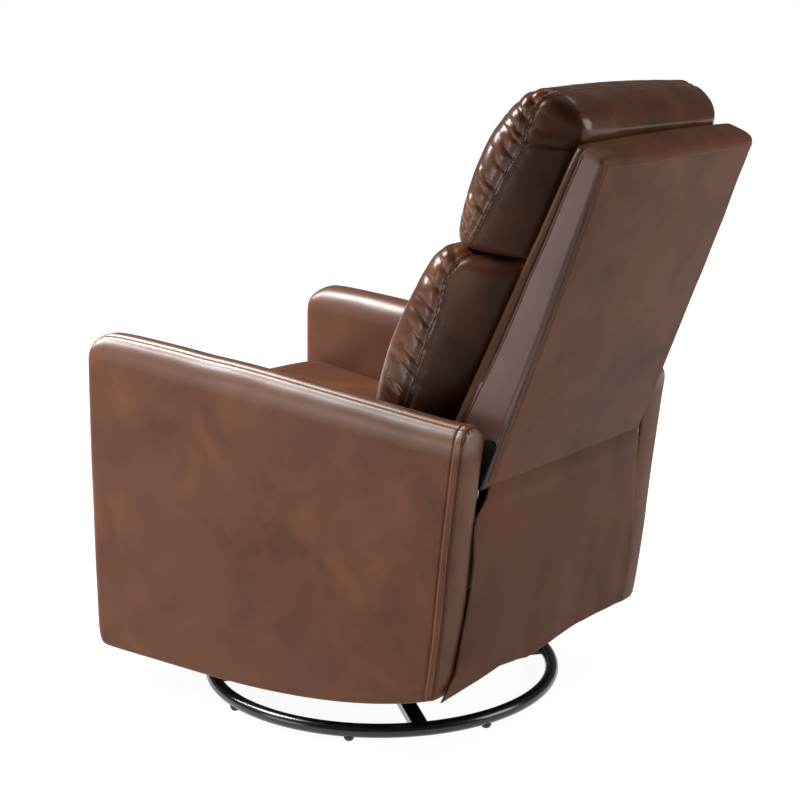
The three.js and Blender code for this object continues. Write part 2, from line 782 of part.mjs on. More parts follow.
function tongsBar(p, q, innerX, ...holes) {
  const shape = barShape(p, q, tongsBarRadius);
  for (const [place, clearance] of holes) {
    shape.holes.push(roundHole(place.x, place.y, tongsPinRadius + clearance));
  }
  return sidePlate(shape, innerX, tongsBarThickness);
}

// A rivet from an inner bar through the outer bar, with a thin head outside it
function tongsRivet(place) {
  const start = innerBarX + tongsBarThickness / 2;
  const headX = outerBarX + tongsBarThickness + fit;
  return joined(
    pin(tongsPinRadius, start, headX + tongsHeadThickness, place.x, place.y),
    pin(tongsHeadRadius, headX, headX + tongsHeadThickness, place.x, place.y),
  );
}

function plateStud(fromX, place) {
  return pin(tongsPinRadius, fromX, mechPlateOuterX - fit, place.x, place.y);
}

// Link A: turns on the fixed pivot and carries the torque tube
function linkA() {
  const holes = [[crossPivot, pinClearance], [lowerPivot, pinClearance]];
  const bar = tongsBar(fixedPivot, lowerPivot, outerBarX, ...holes);
  return joined(bar, plateStud(outerBarX + tongsBarThickness / 2, fixedPivot));
}

// Link B: crosses A, slides in the plate's slot behind and carries D in front
function linkB() {
  const bar = tongsBar(slotStart, upperPivot, innerBarX);
  const stud = plateStud(innerBarX + tongsBarThickness / 2, slotStart);
  return joined(bar, tongsRivet(crossPivot), tongsRivet(upperPivot), stud);
}

// Link C: from the foot of A to the middle of D
function linkC() {
  return joined(tongsBar(lowerPivot, openPivot, innerBarX), tongsRivet(lowerPivot), tongsRivet(openPivot));
}

// Link D: from the top of B, with the web and tab that the footrest board is screwed to
function linkD() {
  const bar = tongsBar(upperPivot, farEnd, outerBarX);
  const faceY = boardBackY + fit;
  const along = farEnd.clone().sub(upperPivot).normalize();
  const webTop = upperPivot.clone().addScaledVector(along, webTopLift);
  const webFoot = farEnd.clone().addScaledVector(along, -webFootLift);
  const web = new THREE.Shape();
  web.moveTo(webTop.x, webTop.y);
  web.lineTo(webFoot.x, webFoot.y);
  web.lineTo(faceY, webFoot.y);
  web.lineTo(faceY, webTop.y);
  web.closePath();
  const tabMiddleZ = (webTop.y + webFoot.y) / 2;
  const tab = box(outerBarX - boardTabWidth, outerBarX + tongsBarThickness, faceY, faceY + tongsBarThickness,
    tabMiddleZ - boardTabLength / 2, tabMiddleZ + boardTabLength / 2);
  const solid = joined(bar, sidePlate(web, outerBarX, tongsBarThickness), tab);
  const [low, high] = [outerBarX - overrun, outerBarX + tongsBarThickness + overrun];
  return cut(
    solid,
    pin(tongsPinRadius + pinClearance, low, high, upperPivot.x, upperPivot.y),
    pin(tongsPinRadius + openPivotClearance, low, high, openPivot.x, openPivot.y),
  );
}

const footrest = new THREE.Group();
seat.add(footrest);
addPair(footrest, 'footrest_link_a', linkA(), steel);
addPair(footrest, 'footrest_link_b', linkB(), steel);
addPair(footrest, 'footrest_link_c', linkC(), steel);
addPair(footrest, 'footrest_link_d', linkD(), steel);
const torqueReach = outerBarX - fit;
addMesh(footrest, 'footrest_torque_tube',
  pin(torqueTubeRadius, -torqueReach, torqueReach, fixedPivot.x, fixedPivot.y), darkSteel);

// Footrest board and its pad, which is flat behind and soft in front
const boardHalfWidth = armInnerXAt(boardBackY) - boardSideGap;
addMesh(footrest, 'footrest_board', box(-boardHalfWidth, boardHalfWidth,
  boardBackY - boardThickness, boardBackY, boardFootZ, boardTopZ), plywood);

function footrestPad() {
  const back = boardBackY - boardThickness - fit;
  const front = back - padThickness;
  const shape = new THREE.Shape();
  shape.moveTo(back, boardTopZ);
  const centreY = front + padEdgeRadius;
  shape.absarc(centreY, boardTopZ - padEdgeRadius, padEdgeRadius, Math.PI / 2, Math.PI, false);
  shape.absarc(centreY, boardFootZ + padEdgeRadius, padEdgeRadius, Math.PI, 1.5 * Math.PI, false);
  shape.lineTo(back, boardFootZ);
  const outline = tidyOutline(shape.getPoints(barEndSteps - 1));
  const isFront = (normal) => Math.max(0, -normal.x);
  const radiusAt = (normal) => padBackRadius + (padEdgeRadius - padBackRadius) * isFront(normal);
  return softSlab(outline, boardHalfWidth, radiusAt, () => 0, 0);
}

addMesh(footrest, 'footrest_pad', footrestPad(), leather);

// Seat cushion: rounded nose, top that falls to the rear, crowned across, notched for the release pull
function seatCushion() {
  const shape = new THREE.Shape();
  shape.moveTo(cushionRearY, cushionBottomZ);
  shape.lineTo(cushionRearY, seatRearTopZ - cushionHeelRadius);
  shape.absarc(cushionRearY - cushionHeelRadius, seatRearTopZ - cushionHeelRadius, cushionHeelRadius,
    0, Math.PI / 2, false);
  const edgeTopZ = seatTopZ - cushionCrown;
  shape.quadraticCurveTo(cushionPeakY / 2, (seatTopZ + seatRearTopZ) / 2, cushionPeakY, edgeTopZ);
  shape.quadraticCurveTo(cushionFrontY, edgeTopZ, cushionFrontY, edgeTopZ - cushionNose);
  shape.lineTo(cushionFrontY, cushionBottomZ + cushionHeelRadius);
  shape.absarc(cushionFrontY + cushionHeelRadius, cushionBottomZ + cushionHeelRadius, cushionHeelRadius,
    Math.PI, 1.5 * Math.PI, false);
  const outline = tidyOutline(shape.getPoints(barEndSteps + 1));
  const upward = (normal) => Math.max(0, normal.y);
  const footRadius = cushionHeelRadius / 2;
  const radiusAt = (normal) => footRadius + (cushionSideRadius - footRadius) * upward(normal);
  const crownAt = (normal) => cushionCrown * upward(normal);
  const cushion = spreadWithArms(softSlab(outline, cushionHalfWidth, radiusAt, crownAt, 0));
  const reachY = pullWidth / 2 + layerGap;
  const pullNotch = box(-halfWidth, -pullInnerX + fit, pullY - reachY, pullY + reachY,
    cushionBottomZ - overrun, seatTopZ + overrun);
  return cut(cushion, pullNotch);
}

addMesh(seat, 'seat_cushion', seatCushion(), leather);

// Arms: raked rear edge, top that falls to the rear, foot that rises to the rear, splayed to the front
function armRearCurve() {
  const top = new THREE.Vector2(armRearY, armTopRearZ);
  const bottom = new THREE.Vector2(armFootRearY, armFootRearZ);
  const slope = (bottom.x - top.x) / (top.y - bottom.y);
  return { top, bottom, at: (z) => top.x + slope * (top.y - z) - armRearHollow };
}

function armOutline() {
  const rear = armRearCurve();
  const frontTopZ = armTopFrontZ - armFrontCorner;
  const shape = new THREE.Shape();
  shape.moveTo(armFrontY + armFootCorner, armFootZ);
  shape.lineTo(armFrontY + armFootFlat, armFootZ);
  const footRun = armFootRearY - armRearFootCorner - (armFrontY + armFootFlat);
  const footRise = armFootRearZ - armFootZ;
  shape.bezierCurveTo(
    armFrontY + armFootFlat + footRun * footSweepShares[0], armFootZ + footRise * footSweepShares[1],
    armFrontY + armFootFlat + footRun * footSweepShares[2], armFootZ + footRise * footSweepShares[3],
    armFootRearY - armRearFootCorner, armFootRearZ);
  shape.quadraticCurveTo(armFootRearY, armFootRearZ + armRearHollow,
    rear.at(armFootRearZ + armRearFootCorner), armFootRearZ + armRearFootCorner);
  const shoulderZ = armTopRearZ - armRearCorner;
  shape.lineTo(rear.at(shoulderZ), shoulderZ);
  shape.quadraticCurveTo(armRearY, armTopRearZ, armRearY - armRearCorner, armTopRearZ);
  const topStartY = armFrontY + armFrontCorner;
  shape.quadraticCurveTo((armRearY + topStartY) / 2, (armTopRearZ + armTopFrontZ) / 2 + 2 * armTopArch,
    topStartY, armTopFrontZ);
  shape.absarc(topStartY, frontTopZ, armFrontCorner, Math.PI / 2, Math.PI, false);
  shape.quadraticCurveTo(armFrontY - 2 * armFrontBulge, (frontTopZ + armFootZ) / 2,
    armFrontY, armFootZ + armFootCorner);
  const [cornerY, cornerZ] = [armFrontY + armFootCorner, armFootZ + armFootCorner];
  shape.absarc(cornerY, cornerZ, armFootCorner, Math.PI, 1.5 * Math.PI, false);
  return tidyOutline(shape.getPoints(barEndSteps));
}

// Handles of the foot's rising curve, as shares of its run and rise
const footSweepShares = [0.45, 0, 0.76, 0.4];

function arm() {
  const radiusAt = (normal) => {
    const [upward, downward] = [Math.max(0, normal.y), Math.max(0, -normal.y)];
    const [frontward, rearward] = [Math.max(0, -normal.x), Math.max(0, normal.x)];
    return armTopRadius * upward ** 2 + armFootRadius * downward ** 2
      + armFrontRadius * frontward ** 2 + armRearRadius * rearward ** 2;
  };
  const slab = softSlab(armOutline(), armThickness / 2, radiusAt, () => 0, 0);
  return slab.translate(armThickness / 2, -armRearY, 0).rotateZ(armSplay).translate(armInnerX, armRearY, 0);
}

addPair(seat, 'arm', arm(), leather);

// Rear skirt: a thin panel behind the arms, wider at its foot
function skirtInnerY(z) {
  const share = (z - skirtFootZ) / (skirtTopZ - skirtFootZ);
  return armRearCurve().at(z) + armRearHollow + skirtArmGap + (skirtTopGap - skirtArmGap) * share ** 2;
}

function rearSkirt() {
  const levels = [
    [skirtTopZ, skirtTopHalfWidth],
    [skirtShoulderTopZ, skirtTopHalfWidth],
    [skirtShoulderFootZ, skirtShoulderHalfWidth],
    [(skirtShoulderFootZ + skirtFootZ) / 2, (skirtShoulderHalfWidth + skirtFootHalfWidth) / 2],
    [skirtFootZ, skirtFootHalfWidth],
  ];
  const positions = [];
  for (const [z, reach] of levels) {
    const y = skirtInnerY(z);
    positions.push(-reach, y, z, reach, y, z, reach, y + skirtThickness, z, -reach, y + skirtThickness, z);
  }
  const index = [];
  for (let level = 0; level + 1 < levels.length; level += 1) {
    for (let i = 0; i < 4; i += 1) {
      const a = level * 4 + i;
      const b = level * 4 + (i + 1) % 4;
      index.push(a, a + 4, b + 4, a, b + 4, b);
    }
  }
  const last = (levels.length - 1) * 4;
  index.push(0, 1, 2, 0, 2, 3, last, last + 2, last + 1, last, last + 3, last + 2);
  const geometry = new THREE.BufferGeometry();
  geometry.setAttribute('position', new THREE.Float32BufferAttribute(positions, 3));
  geometry.setIndex(index);
  return geometry;
}

addMesh(seat, 'rear_skirt', rearSkirt(), leather);

// Rear stretcher: ties the arms and backs the foot of the skirt
const stretcherTopZ = stretcherFootZ + stretcherHeight;
const stretcherRearY = skirtInnerY(stretcherFootZ) - fit;
const stretcherReach = armInnerXAt(stretcherRearY) - fit;
addMesh(seat, 'rear_stretcher', box(-stretcherReach, stretcherReach,
  stretcherRearY - stretcherDepth, stretcherRearY, stretcherFootZ, stretcherTopZ), plywood);

// Release pull on the sitter's right: a flat strip that slides in a guide on the side panel, with a cable

function releaseGuide() {
  const reachY = pullNeckWidth / 2 + guideWall;
  const block = box(-pullOuterX, -panelOuterX - fit, pullY - reachY, pullY + reachY,
    guideFootZ, guideFootZ + guideHeight);
  const slotReach = pullNeckWidth / 2 + fit;
  const channel = box(-pullOuterX - overrun, -pullInnerX + fit, pullY - slotReach, pullY + slotReach,
    guideFootZ - overrun, guideFootZ + guideHeight + overrun);
  return cut(block, channel);
}

function releasePull() {
  const shape = new THREE.Shape();
  const [front, rear] = [pullY - pullWidth / 2, pullY + pullWidth / 2];
  const [neckFront, neckRear] = [pullY - pullNeckWidth / 2, pullY + pullNeckWidth / 2];
  shape.moveTo(neckFront, pullFootZ);
  shape.lineTo(neckRear, pullFootZ);
  shape.lineTo(neckRear, pullNeckZ);
  shape.lineTo(rear, pullNeckZ + pullCorner);
  shape.absarc(rear - pullCorner, pullTopZ - pullCorner, pullCorner, 0, Math.PI / 2, false);
  shape.absarc(front + pullCorner, pullTopZ - pullCorner, pullCorner, Math.PI / 2, Math.PI, false);
  shape.lineTo(front, pullNeckZ + pullCorner);
  shape.lineTo(neckFront, pullNeckZ);
  shape.closePath();
  return sidePlate(shape, -pullOuterX, pullThickness);
}

// The cable's run under the seat, as shares of its run forward and its fall
const cableShares = [[0, 0], [0, 0.35], [0.18, 0.8], [0.6, 1], [1, 1]];

function releaseCable() {
  const cableX = -pullInnerX - cableRadius;
  const startZ = pullFootZ - fit;
  const run = pullY - (frontRailY + railThickness);
  const points = cableShares.map(([ahead, down]) => new THREE.Vector3(
    cableX, pullY - ahead * run, startZ - down * cableFall));
  const section = new THREE.Shape(roundHole(0, 0, cableRadius, cableSides).getPoints().reverse());
  const extrudePath = new THREE.CatmullRomCurve3(points);
  return new THREE.ExtrudeGeometry(section, { steps: cableSteps, bevelEnabled: false, extrudePath });
}

addMesh(seat, 'release_guide', releaseGuide(), blackPlastic);
addMesh(seat, 'release_cable', releaseCable(), blackPlastic);
addMesh(seat, 'release_pull', releasePull(), blackPlastic);

// Back: local z runs up its front face, local -y points forward, the origin is its front foot
const back = new THREE.Group();
back.position.set(0, backFootY, backFootZ);
back.rotation.x = -backLean;
seat.add(back);

// Foot of the back frame under its heel, as shares of the heel's depth and lift
const backFootShares = [[0.985, 0.77], [0.69, 0.43]];

function backFrame() {
  const shape = new THREE.Shape();
  shape.moveTo(0, 0);
  shape.lineTo(backHeelDepth * backFootShares[1][0], backHeelLift * backFootShares[1][1]);
  shape.lineTo(backHeelDepth * backFootShares[0][0], backHeelLift * backFootShares[0][1]);
  shape.lineTo(backHeelDepth, backHeelLift);
  const side = new THREE.Vector2(backTopDepth - backHeelDepth, backLength - backHeelLift).normalize();
  const shoulder = new THREE.Vector2(backTopDepth, backLength).addScaledVector(side, -backTopRearCorner);
  shape.lineTo(shoulder.x, shoulder.y);
  shape.quadraticCurveTo(backTopDepth, backLength, backTopDepth - backTopRearCorner, backLength);
  shape.lineTo(backTopFrontCorner, backLength);
  shape.quadraticCurveTo(0, backLength, 0, backLength - backTopFrontCorner);
  const outline = tidyOutline(shape.getPoints(barEndSteps));
  return softSlab(outline, backHalfWidth, () => backEdgeRadius, () => 0, 0);
}

addMesh(back, 'back_frame', backFrame(), leather);

// Back brackets: a strap on each side of the frame with the recline pin
function backBracket() {
  const root = new THREE.Vector2(reclineDepth, reclineLift);
  const tip = new THREE.Vector2(
    reclineDepth - backBracketLength * Math.sin(backBracketLean),
    reclineLift + backBracketLength * Math.cos(backBracketLean));
  const strapX = backHalfWidth + fit;
  const strap = sidePlate(barShape(root, tip, reclineBossRadius), strapX, backBracketThickness);
  const middleX = strapX + backBracketThickness / 2;
  return joined(
    strap,
    pin(reclineBossRadius, middleX, mechPlateX - fit, root.x, root.y),
    pin(reclinePinRadius, middleX, mechPlateOuterX - fit, root.x, root.y),
  );
}

addPair(back, 'back_bracket', backBracket(), darkSteel);

// Side outlines of the pillows: depth to the front and height, as shares
const headPillowShares = [
  [-0.45, 0], [-0.64, 0.01], [-0.85, 0.05], [-0.95, 0.166], [-1, 0.397], [-0.97, 0.596], [-0.843, 0.795],
  [-0.627, 0.927], [-0.373, 0.993], [-0.14, 0.965], [-0.02, 0.89], [0, 0.8], [0, 0.45], [0, 0.06],
  [-0.15, 0.008],
];
const lumbarPillowShares = [
  [-0.06, 0.02], [-0.39, 0], [-0.72, 0.11], [-0.92, 0.26], [-0.99, 0.45], [-0.985, 0.66], [-0.93, 0.85],
  [-0.87, 0.925], [-0.78, 0.975], [-0.65, 1], [-0.3, 0.998], [-0.03, 0.99], [0, 0.93], [0, 0.55], [0, 0.12],
];

function pillow(shares, depth, height) {
  const outline = tidyOutline(smoothOutline(shares, depth, height, 2 * shares.length));
  const radiusAt = (normal) => {
    const [forward, rearward] = [Math.max(0, -normal.x), Math.max(0, normal.x)];
    return pillowFrontRadius * forward ** 2 + pillowRearRadius * rearward ** 2
      + pillowEdgeRadius * normal.y ** 2;
  };
  const crownAt = (normal) => pillowCrown * Math.max(0, -normal.x);
  return softSlab(outline, pillowHalfWidth, radiusAt, crownAt, pillowSideCrown);
}

const headPillow = addMesh(back, 'head_pillow',
  pillow(headPillowShares, headPillowDepth, headPillowHeight), pillowLeather);
headPillow.position.set(0, -pillowSeat, pillowSplit + pillowGap / 2);
const lumbarPillow = addMesh(back, 'lumbar_pillow',
  pillow(lumbarPillowShares, lumbarPillowDepth, lumbarPillowHeight), pillowLeather);
lumbarPillow.position.set(0, -pillowSeat, pillowSplit - pillowGap / 2 - lumbarPillowHeight);

// The origin goes under the middle of the whole chair
chair.updateMatrixWorld(true);
const reach = new THREE.Box3().setFromObject(chair, true);
chair.position.y = -(reach.min.y + reach.max.y) / 2;

export default chair;
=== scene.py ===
"""Looks of a swivel glider recliner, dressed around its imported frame. Metres, +Z up, chair facing -Y."""

import json
import math

import bpy
import numpy as np
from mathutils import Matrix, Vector
from mathutils.bvhtree import BVHTree


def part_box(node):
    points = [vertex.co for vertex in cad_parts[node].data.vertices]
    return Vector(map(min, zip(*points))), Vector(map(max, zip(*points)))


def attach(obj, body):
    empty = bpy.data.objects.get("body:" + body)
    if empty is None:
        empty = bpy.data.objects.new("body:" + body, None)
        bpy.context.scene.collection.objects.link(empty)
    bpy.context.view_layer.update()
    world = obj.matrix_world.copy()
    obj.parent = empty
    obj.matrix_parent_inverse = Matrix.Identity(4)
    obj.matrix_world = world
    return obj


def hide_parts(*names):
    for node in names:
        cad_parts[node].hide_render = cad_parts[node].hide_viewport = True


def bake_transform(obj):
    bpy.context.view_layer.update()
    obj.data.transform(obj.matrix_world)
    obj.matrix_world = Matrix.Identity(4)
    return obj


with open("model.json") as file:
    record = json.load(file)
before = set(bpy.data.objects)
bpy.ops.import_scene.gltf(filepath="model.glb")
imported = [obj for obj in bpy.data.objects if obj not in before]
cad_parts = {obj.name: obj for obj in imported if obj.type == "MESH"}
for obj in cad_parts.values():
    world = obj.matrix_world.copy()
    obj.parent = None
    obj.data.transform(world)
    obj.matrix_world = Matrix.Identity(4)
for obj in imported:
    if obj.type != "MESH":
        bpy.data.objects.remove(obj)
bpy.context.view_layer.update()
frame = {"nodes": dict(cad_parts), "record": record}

# Sizes in millimetres, in the chair's own axes: y from the swivel axis, z from the floor
MM = 0.001
SWIVEL_Y = sum(corner[1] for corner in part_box("base_ring")) / 2

HALF_WIDTH = 310
ARM_INNER_X = 248
ARM_HALF = (HALF_WIDTH - ARM_INNER_X) / 2
ARM_SPLAY = math.radians(1.3)
ARM_END_Y = 398
BACK_LEAN = math.radians(25.9)
BACK_FOOT = (257, 440)
BACK_LENGTH = 634
BACK_HALF = 235

RNG = np.random.default_rng(7)


def metres(points):
    """Chair millimetres to the frame's metres."""
    moved = np.asarray(points, float) * MM
    moved[..., 1] += SWIVEL_Y
    return moved


def from_back(x, forward, up):
    """Places in the back's own frame, forward of its front face and up along it, as chair millimetres."""
    y = BACK_FOOT[0] + up * math.sin(BACK_LEAN) - forward * math.cos(BACK_LEAN)
    z = BACK_FOOT[1] + up * math.cos(BACK_LEAN) + forward * math.sin(BACK_LEAN)
    return np.stack([x, y, z], -1)


# Numbers and curves


def smooth_noise(seed, length=512):
    """A smooth wandering curve through random values, as a function of position."""
    values = np.random.default_rng(seed).uniform(-1, 1, length)

    def at(position):
        cell = np.floor(position).astype(int)
        share = position - cell
        share = share * share * (3 - 2 * share)
        return values[cell % length] * (1 - share) + values[(cell + 1) % length] * share

    return at


def bezier(p, q, r, s=None, steps=24):
    """Points on a quadratic or cubic curve, without its last one."""
    t = np.linspace(0, 1, steps, endpoint=False)[:, None]
    p, q, r = (np.array(v, float) for v in (p, q, r))
    if s is None:
        return p * (1 - t) ** 2 + 2 * q * t * (1 - t) + r * t**2
    s = np.array(s, float)
    return p * (1 - t) ** 3 + 3 * q * t * (1 - t) ** 2 + 3 * r * t**2 * (1 - t) + s * t**3


def arc(centre, radius, start, end, steps=14):
    """Points on an arc between two angles in degrees, without its last one."""
    angles = np.radians(np.linspace(start, end, steps, endpoint=False))
    return np.array(centre) + radius * np.stack([np.cos(angles), np.sin(angles)], 1)


def evenly(points, step, closed=True):
    """The same line with points about one step apart."""
    points = np.vstack([points, points[:1]]) if closed else np.asarray(points, float)
    lengths = np.linalg.norm(np.diff(points, axis=0), axis=1)
    keep = np.concatenate([[True], lengths > 1e-6])
    points, lengths = points[keep], lengths[lengths > 1e-6]
    along = np.concatenate([[0], np.cumsum(lengths)])
    count = max(8, int(round(along[-1] / step)))
    places = np.linspace(0, along[-1], count, endpoint=not closed)
    return np.stack([np.interp(places, along, points[:, k]) for k in range(points.shape[1])], 1)


def smooth_line(points, closed, step):
    """A smooth centripetal curve through given points, with even steps."""
    p = np.asarray(points, float)
    n = len(p)
    out = []
    for i in range(n if closed else n - 1):
        if closed:
            a, b, c, d = (p[(i + k) % n] for k in (-1, 0, 1, 2))
        else:
            a, b, c, d = p[max(i - 1, 0)], p[i], p[i + 1], p[min(i + 2, n - 1)]
        t = np.linspace(0, 1, 12, endpoint=False)[:, None]
        out.append(
            0.5 * (2 * b + (c - a) * t + (2 * a - 5 * b + 4 * c - d) * t**2 + (3 * b - a - 3 * c + d) * t**3)
        )
    line = np.vstack(out + ([] if closed else [p[-1:]]))
    return evenly(line, step, closed)


# Meshes


def new_object(name, verts, faces, material, body, smooth=True):
    """A mesh object from millimetre vertices that rides on a body."""
    mesh = bpy.data.meshes.new(name)
    mesh.from_pydata(metres(verts).tolist(), [], [list(map(int, f)) for f in faces])
    mesh.materials.append(material)
    mesh.polygons.foreach_set("use_smooth", [smooth] * len(mesh.polygons))
    mesh.update()
    piece = bpy.data.objects.new(name, mesh)
    bpy.context.scene.collection.objects.link(piece)
    if body:
        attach(piece, body)
    return piece


def grid_faces(rows, columns, first=0, closed=True):
    """Quads between rows of points, each row closed on itself or open."""
    r = np.arange(rows - 1)[:, None]
    c = np.arange(columns if closed else columns - 1)[None, :]
    a = first + r * columns + c
    b = first + r * columns + (c + 1) % columns
    return np.stack([a, b, b + columns, a + columns], -1).reshape(-1, 4)


def outline_normals(outline):
    along = np.roll(outline, -1, 0) - np.roll(outline, 1, 0)
    normal = np.stack([along[:, 1], -along[:, 0]], 1)
    return normal / np.linalg.norm(normal, axis=1, keepdims=True)


def counter_clockwise(outline):
    x, y = outline[:, 0], outline[:, 1]
    area = np.sum(x * np.roll(y, -1) - y * np.roll(x, -1))
    return outline if area > 0 else outline[::-1].copy()


def slab(outline, half, radius, crown, side_crown, step, ring_step, cross_step=10):
    """A soft slab across x: its side outline, drawn in at both ends by quarter rounds.
    Returns vertices as (x, a, b) and faces."""
    outline = counter_clockwise(evenly(outline, step))
    normals = outline_normals(outline)
    radii, crowns = radius(normals, outline), crown(normals, outline)
    inner = np.linspace(0, 1, max(3, int(half / cross_step)))[:-1]
    reach = max(radii.max(), step)
    turned = np.linspace(0, math.pi / 2, 12)
    rim = (half - reach + reach * np.sin(turned)) / half
    positive = np.unique(np.concatenate([inner * (half - reach) / half, rim]).round(6))
    shares = np.concatenate([-positive[:0:-1], positive])
    rows = []
    for share in shares:
        x = share * half
        past = np.clip(abs(x) - (half - radii), 0, radii)
        drawn = radii - np.sqrt(np.maximum(radii**2 - past**2, 0))
        moved = outline + normals * (crowns * (1 - share**2) - drawn)[:, None]
        rows.append(np.column_stack([np.full(len(outline), x), moved]))
    verts = np.vstack(rows)
    count = len(outline)
    faces = [grid_faces(len(shares), count)]
    triangles = []
    for side, edge in ((-1, 0), (1, (len(shares) - 1) * count)):
        ring = verts[edge : edge + count, 1:]
        middle = (ring.min(0) + ring.max(0)) / 2
        rings = max(3, int(np.linalg.norm(ring - middle, axis=1).max() / ring_step))
        first = edge
        for share in np.linspace(1, 0, rings, endpoint=False)[1:]:
            start = len(verts)
            x = side * (half + side_crown * (1 - share**2) ** 0.8)
            verts = np.vstack([verts, np.column_stack([np.full(count, x), middle + (ring - middle) * share])])
            i = np.arange(count)
            j = (i + 1) % count
            quad = np.stack([first + i, first + j, start + j, start + i], 1)
            faces.append(quad if side > 0 else quad[:, ::-1])
            first = start
        start = len(verts)
        verts = np.vstack([verts, [side * (half + side_crown), *middle]])
        i = np.arange(count)
        j = (i + 1) % count
        fan = np.stack([np.full(count, start), first + i, first + j], 1)
        triangles.append(fan if side > 0 else fan[:, ::-1])
    return verts, [tuple(f) for f in np.vstack(faces)] + [tuple(f) for f in np.vstack(triangles)]


def vertex_normals(verts, faces):
    """Area-weighted vertex normals."""
    normals = np.zeros_like(verts)
    quads = np.array([f if len(f) == 4 else (*f, f[-1]) for f in faces])
    a, b, c, d = (verts[quads[:, k]] for k in range(4))
    face = np.cross(c - a, d - b)
    flat = np.linalg.norm(face, axis=1) < 1e-9
    face[flat] = np.cross(b[flat] - a[flat], c[flat] - a[flat])
    for k in range(4):
        np.add.at(normals, quads[:, k], face)
    return normals / np.maximum(np.linalg.norm(normals, axis=1, keepdims=True), 1e-9)


def tube(path, radius, sides=8, closed=False):
    """A round tube along a path of points."""
    path = np.asarray(path, float)
    ahead = np.roll(path, -1, 0) - np.roll(path, 1, 0)
    if not closed:
        ahead[0], ahead[-1] = path[1] - path[0], path[-1] - path[-2]
    ahead /= np.linalg.norm(ahead, axis=1, keepdims=True)
    up = np.cross(ahead[0], [0.13, 0.21, 0.97])
    rings = []
    for i, direction in enumerate(ahead):
        up = up - direction * np.dot(up, direction)
        up /= np.linalg.norm(up)
        side = np.cross(direction, up)
        angles = np.linspace(0, 2 * math.pi, sides, endpoint=False)[:, None]
        rings.append(path[i] + radius * (up * np.cos(angles) + side * np.sin(angles)))
    verts = np.vstack(rings)
    faces = [tuple(f) for f in grid_faces(len(path), sides)]
    if closed:
        last = (len(path) - 1) * sides
        faces += [(last + i, last + (i + 1) % sides, (i + 1) % sides, i) for i in range(sides)]
    else:
        last = (len(path) - 1) * sides
        faces += [tuple(range(sides))[::-1], tuple(range(last, last + sides))]
    return verts, faces


def merged(parts):
    """Several (vertices, faces) as one."""
    verts, faces, first = [], [], 0
    for v, f in parts:
        verts.append(v)
        faces += [tuple(first + k for k in face) for face in f]
        first += len(v)
    return np.vstack(verts), faces


class Surface:
    """A piece's surface in millimetres, to lay seams and stitches on."""

    def __init__(self, verts, faces):
        self.tree = BVHTree.FromPolygons([tuple(v) for v in verts], faces)

    def nearest(self, point):
        location, normal, _, _ = self.tree.find_nearest(Vector(point))
        return np.array(location), np.array(normal)


def stitches(surface, path, pitch, length, radius, proud=0.3):
    """Short rounded threads laid end to end along a path on a surface."""
    places = evenly(path, pitch, closed=False)
    ring = np.linspace(0, 2 * math.pi, 6, endpoint=False)
    profile = ((-0.5, 0.35), (-0.36, 0.85), (0, 1), (0.36, 0.85), (0.5, 0.35))
    parts = []
    for here, ahead in zip(places[:-1], places[1:]):
        middle, normal = surface.nearest((here + ahead) / 2)
        along = ahead - here
        along -= normal * np.dot(along, normal)
        along /= max(np.linalg.norm(along), 1e-9)
        across = np.cross(normal, along)
        rows = []
        for place, width in profile:
            centre = middle + along * place * length + normal * (proud - radius * (1 - width) * 1.4)
            rows.append(
                centre
                + radius * width * (np.cos(ring)[:, None] * across + 0.8 * np.sin(ring)[:, None] * normal)
            )
        verts = np.vstack(rows)
        faces = [tuple(f) for f in grid_faces(len(profile), 6)] + [(5, 4, 3, 2, 1, 0), tuple(range(24, 30))]
        parts.append((verts, faces))
    return merged(parts)


def welt(surface, path, radius, sink=0.45, closed=False):
    """A piped edge: a tube that lies half sunk along a path on a surface."""
    laid = []
    for point in path:
        place, normal = surface.nearest(point)
        laid.append(place + normal * radius * (1 - 2 * sink))
    laid = np.array(laid)
    for _ in range(2):
        inner = (laid[:-2] + 2 * laid[1:-1] + laid[2:]) / 4
        laid[1:-1] = inner
    return tube(laid, radius, 8, closed)


# Materials


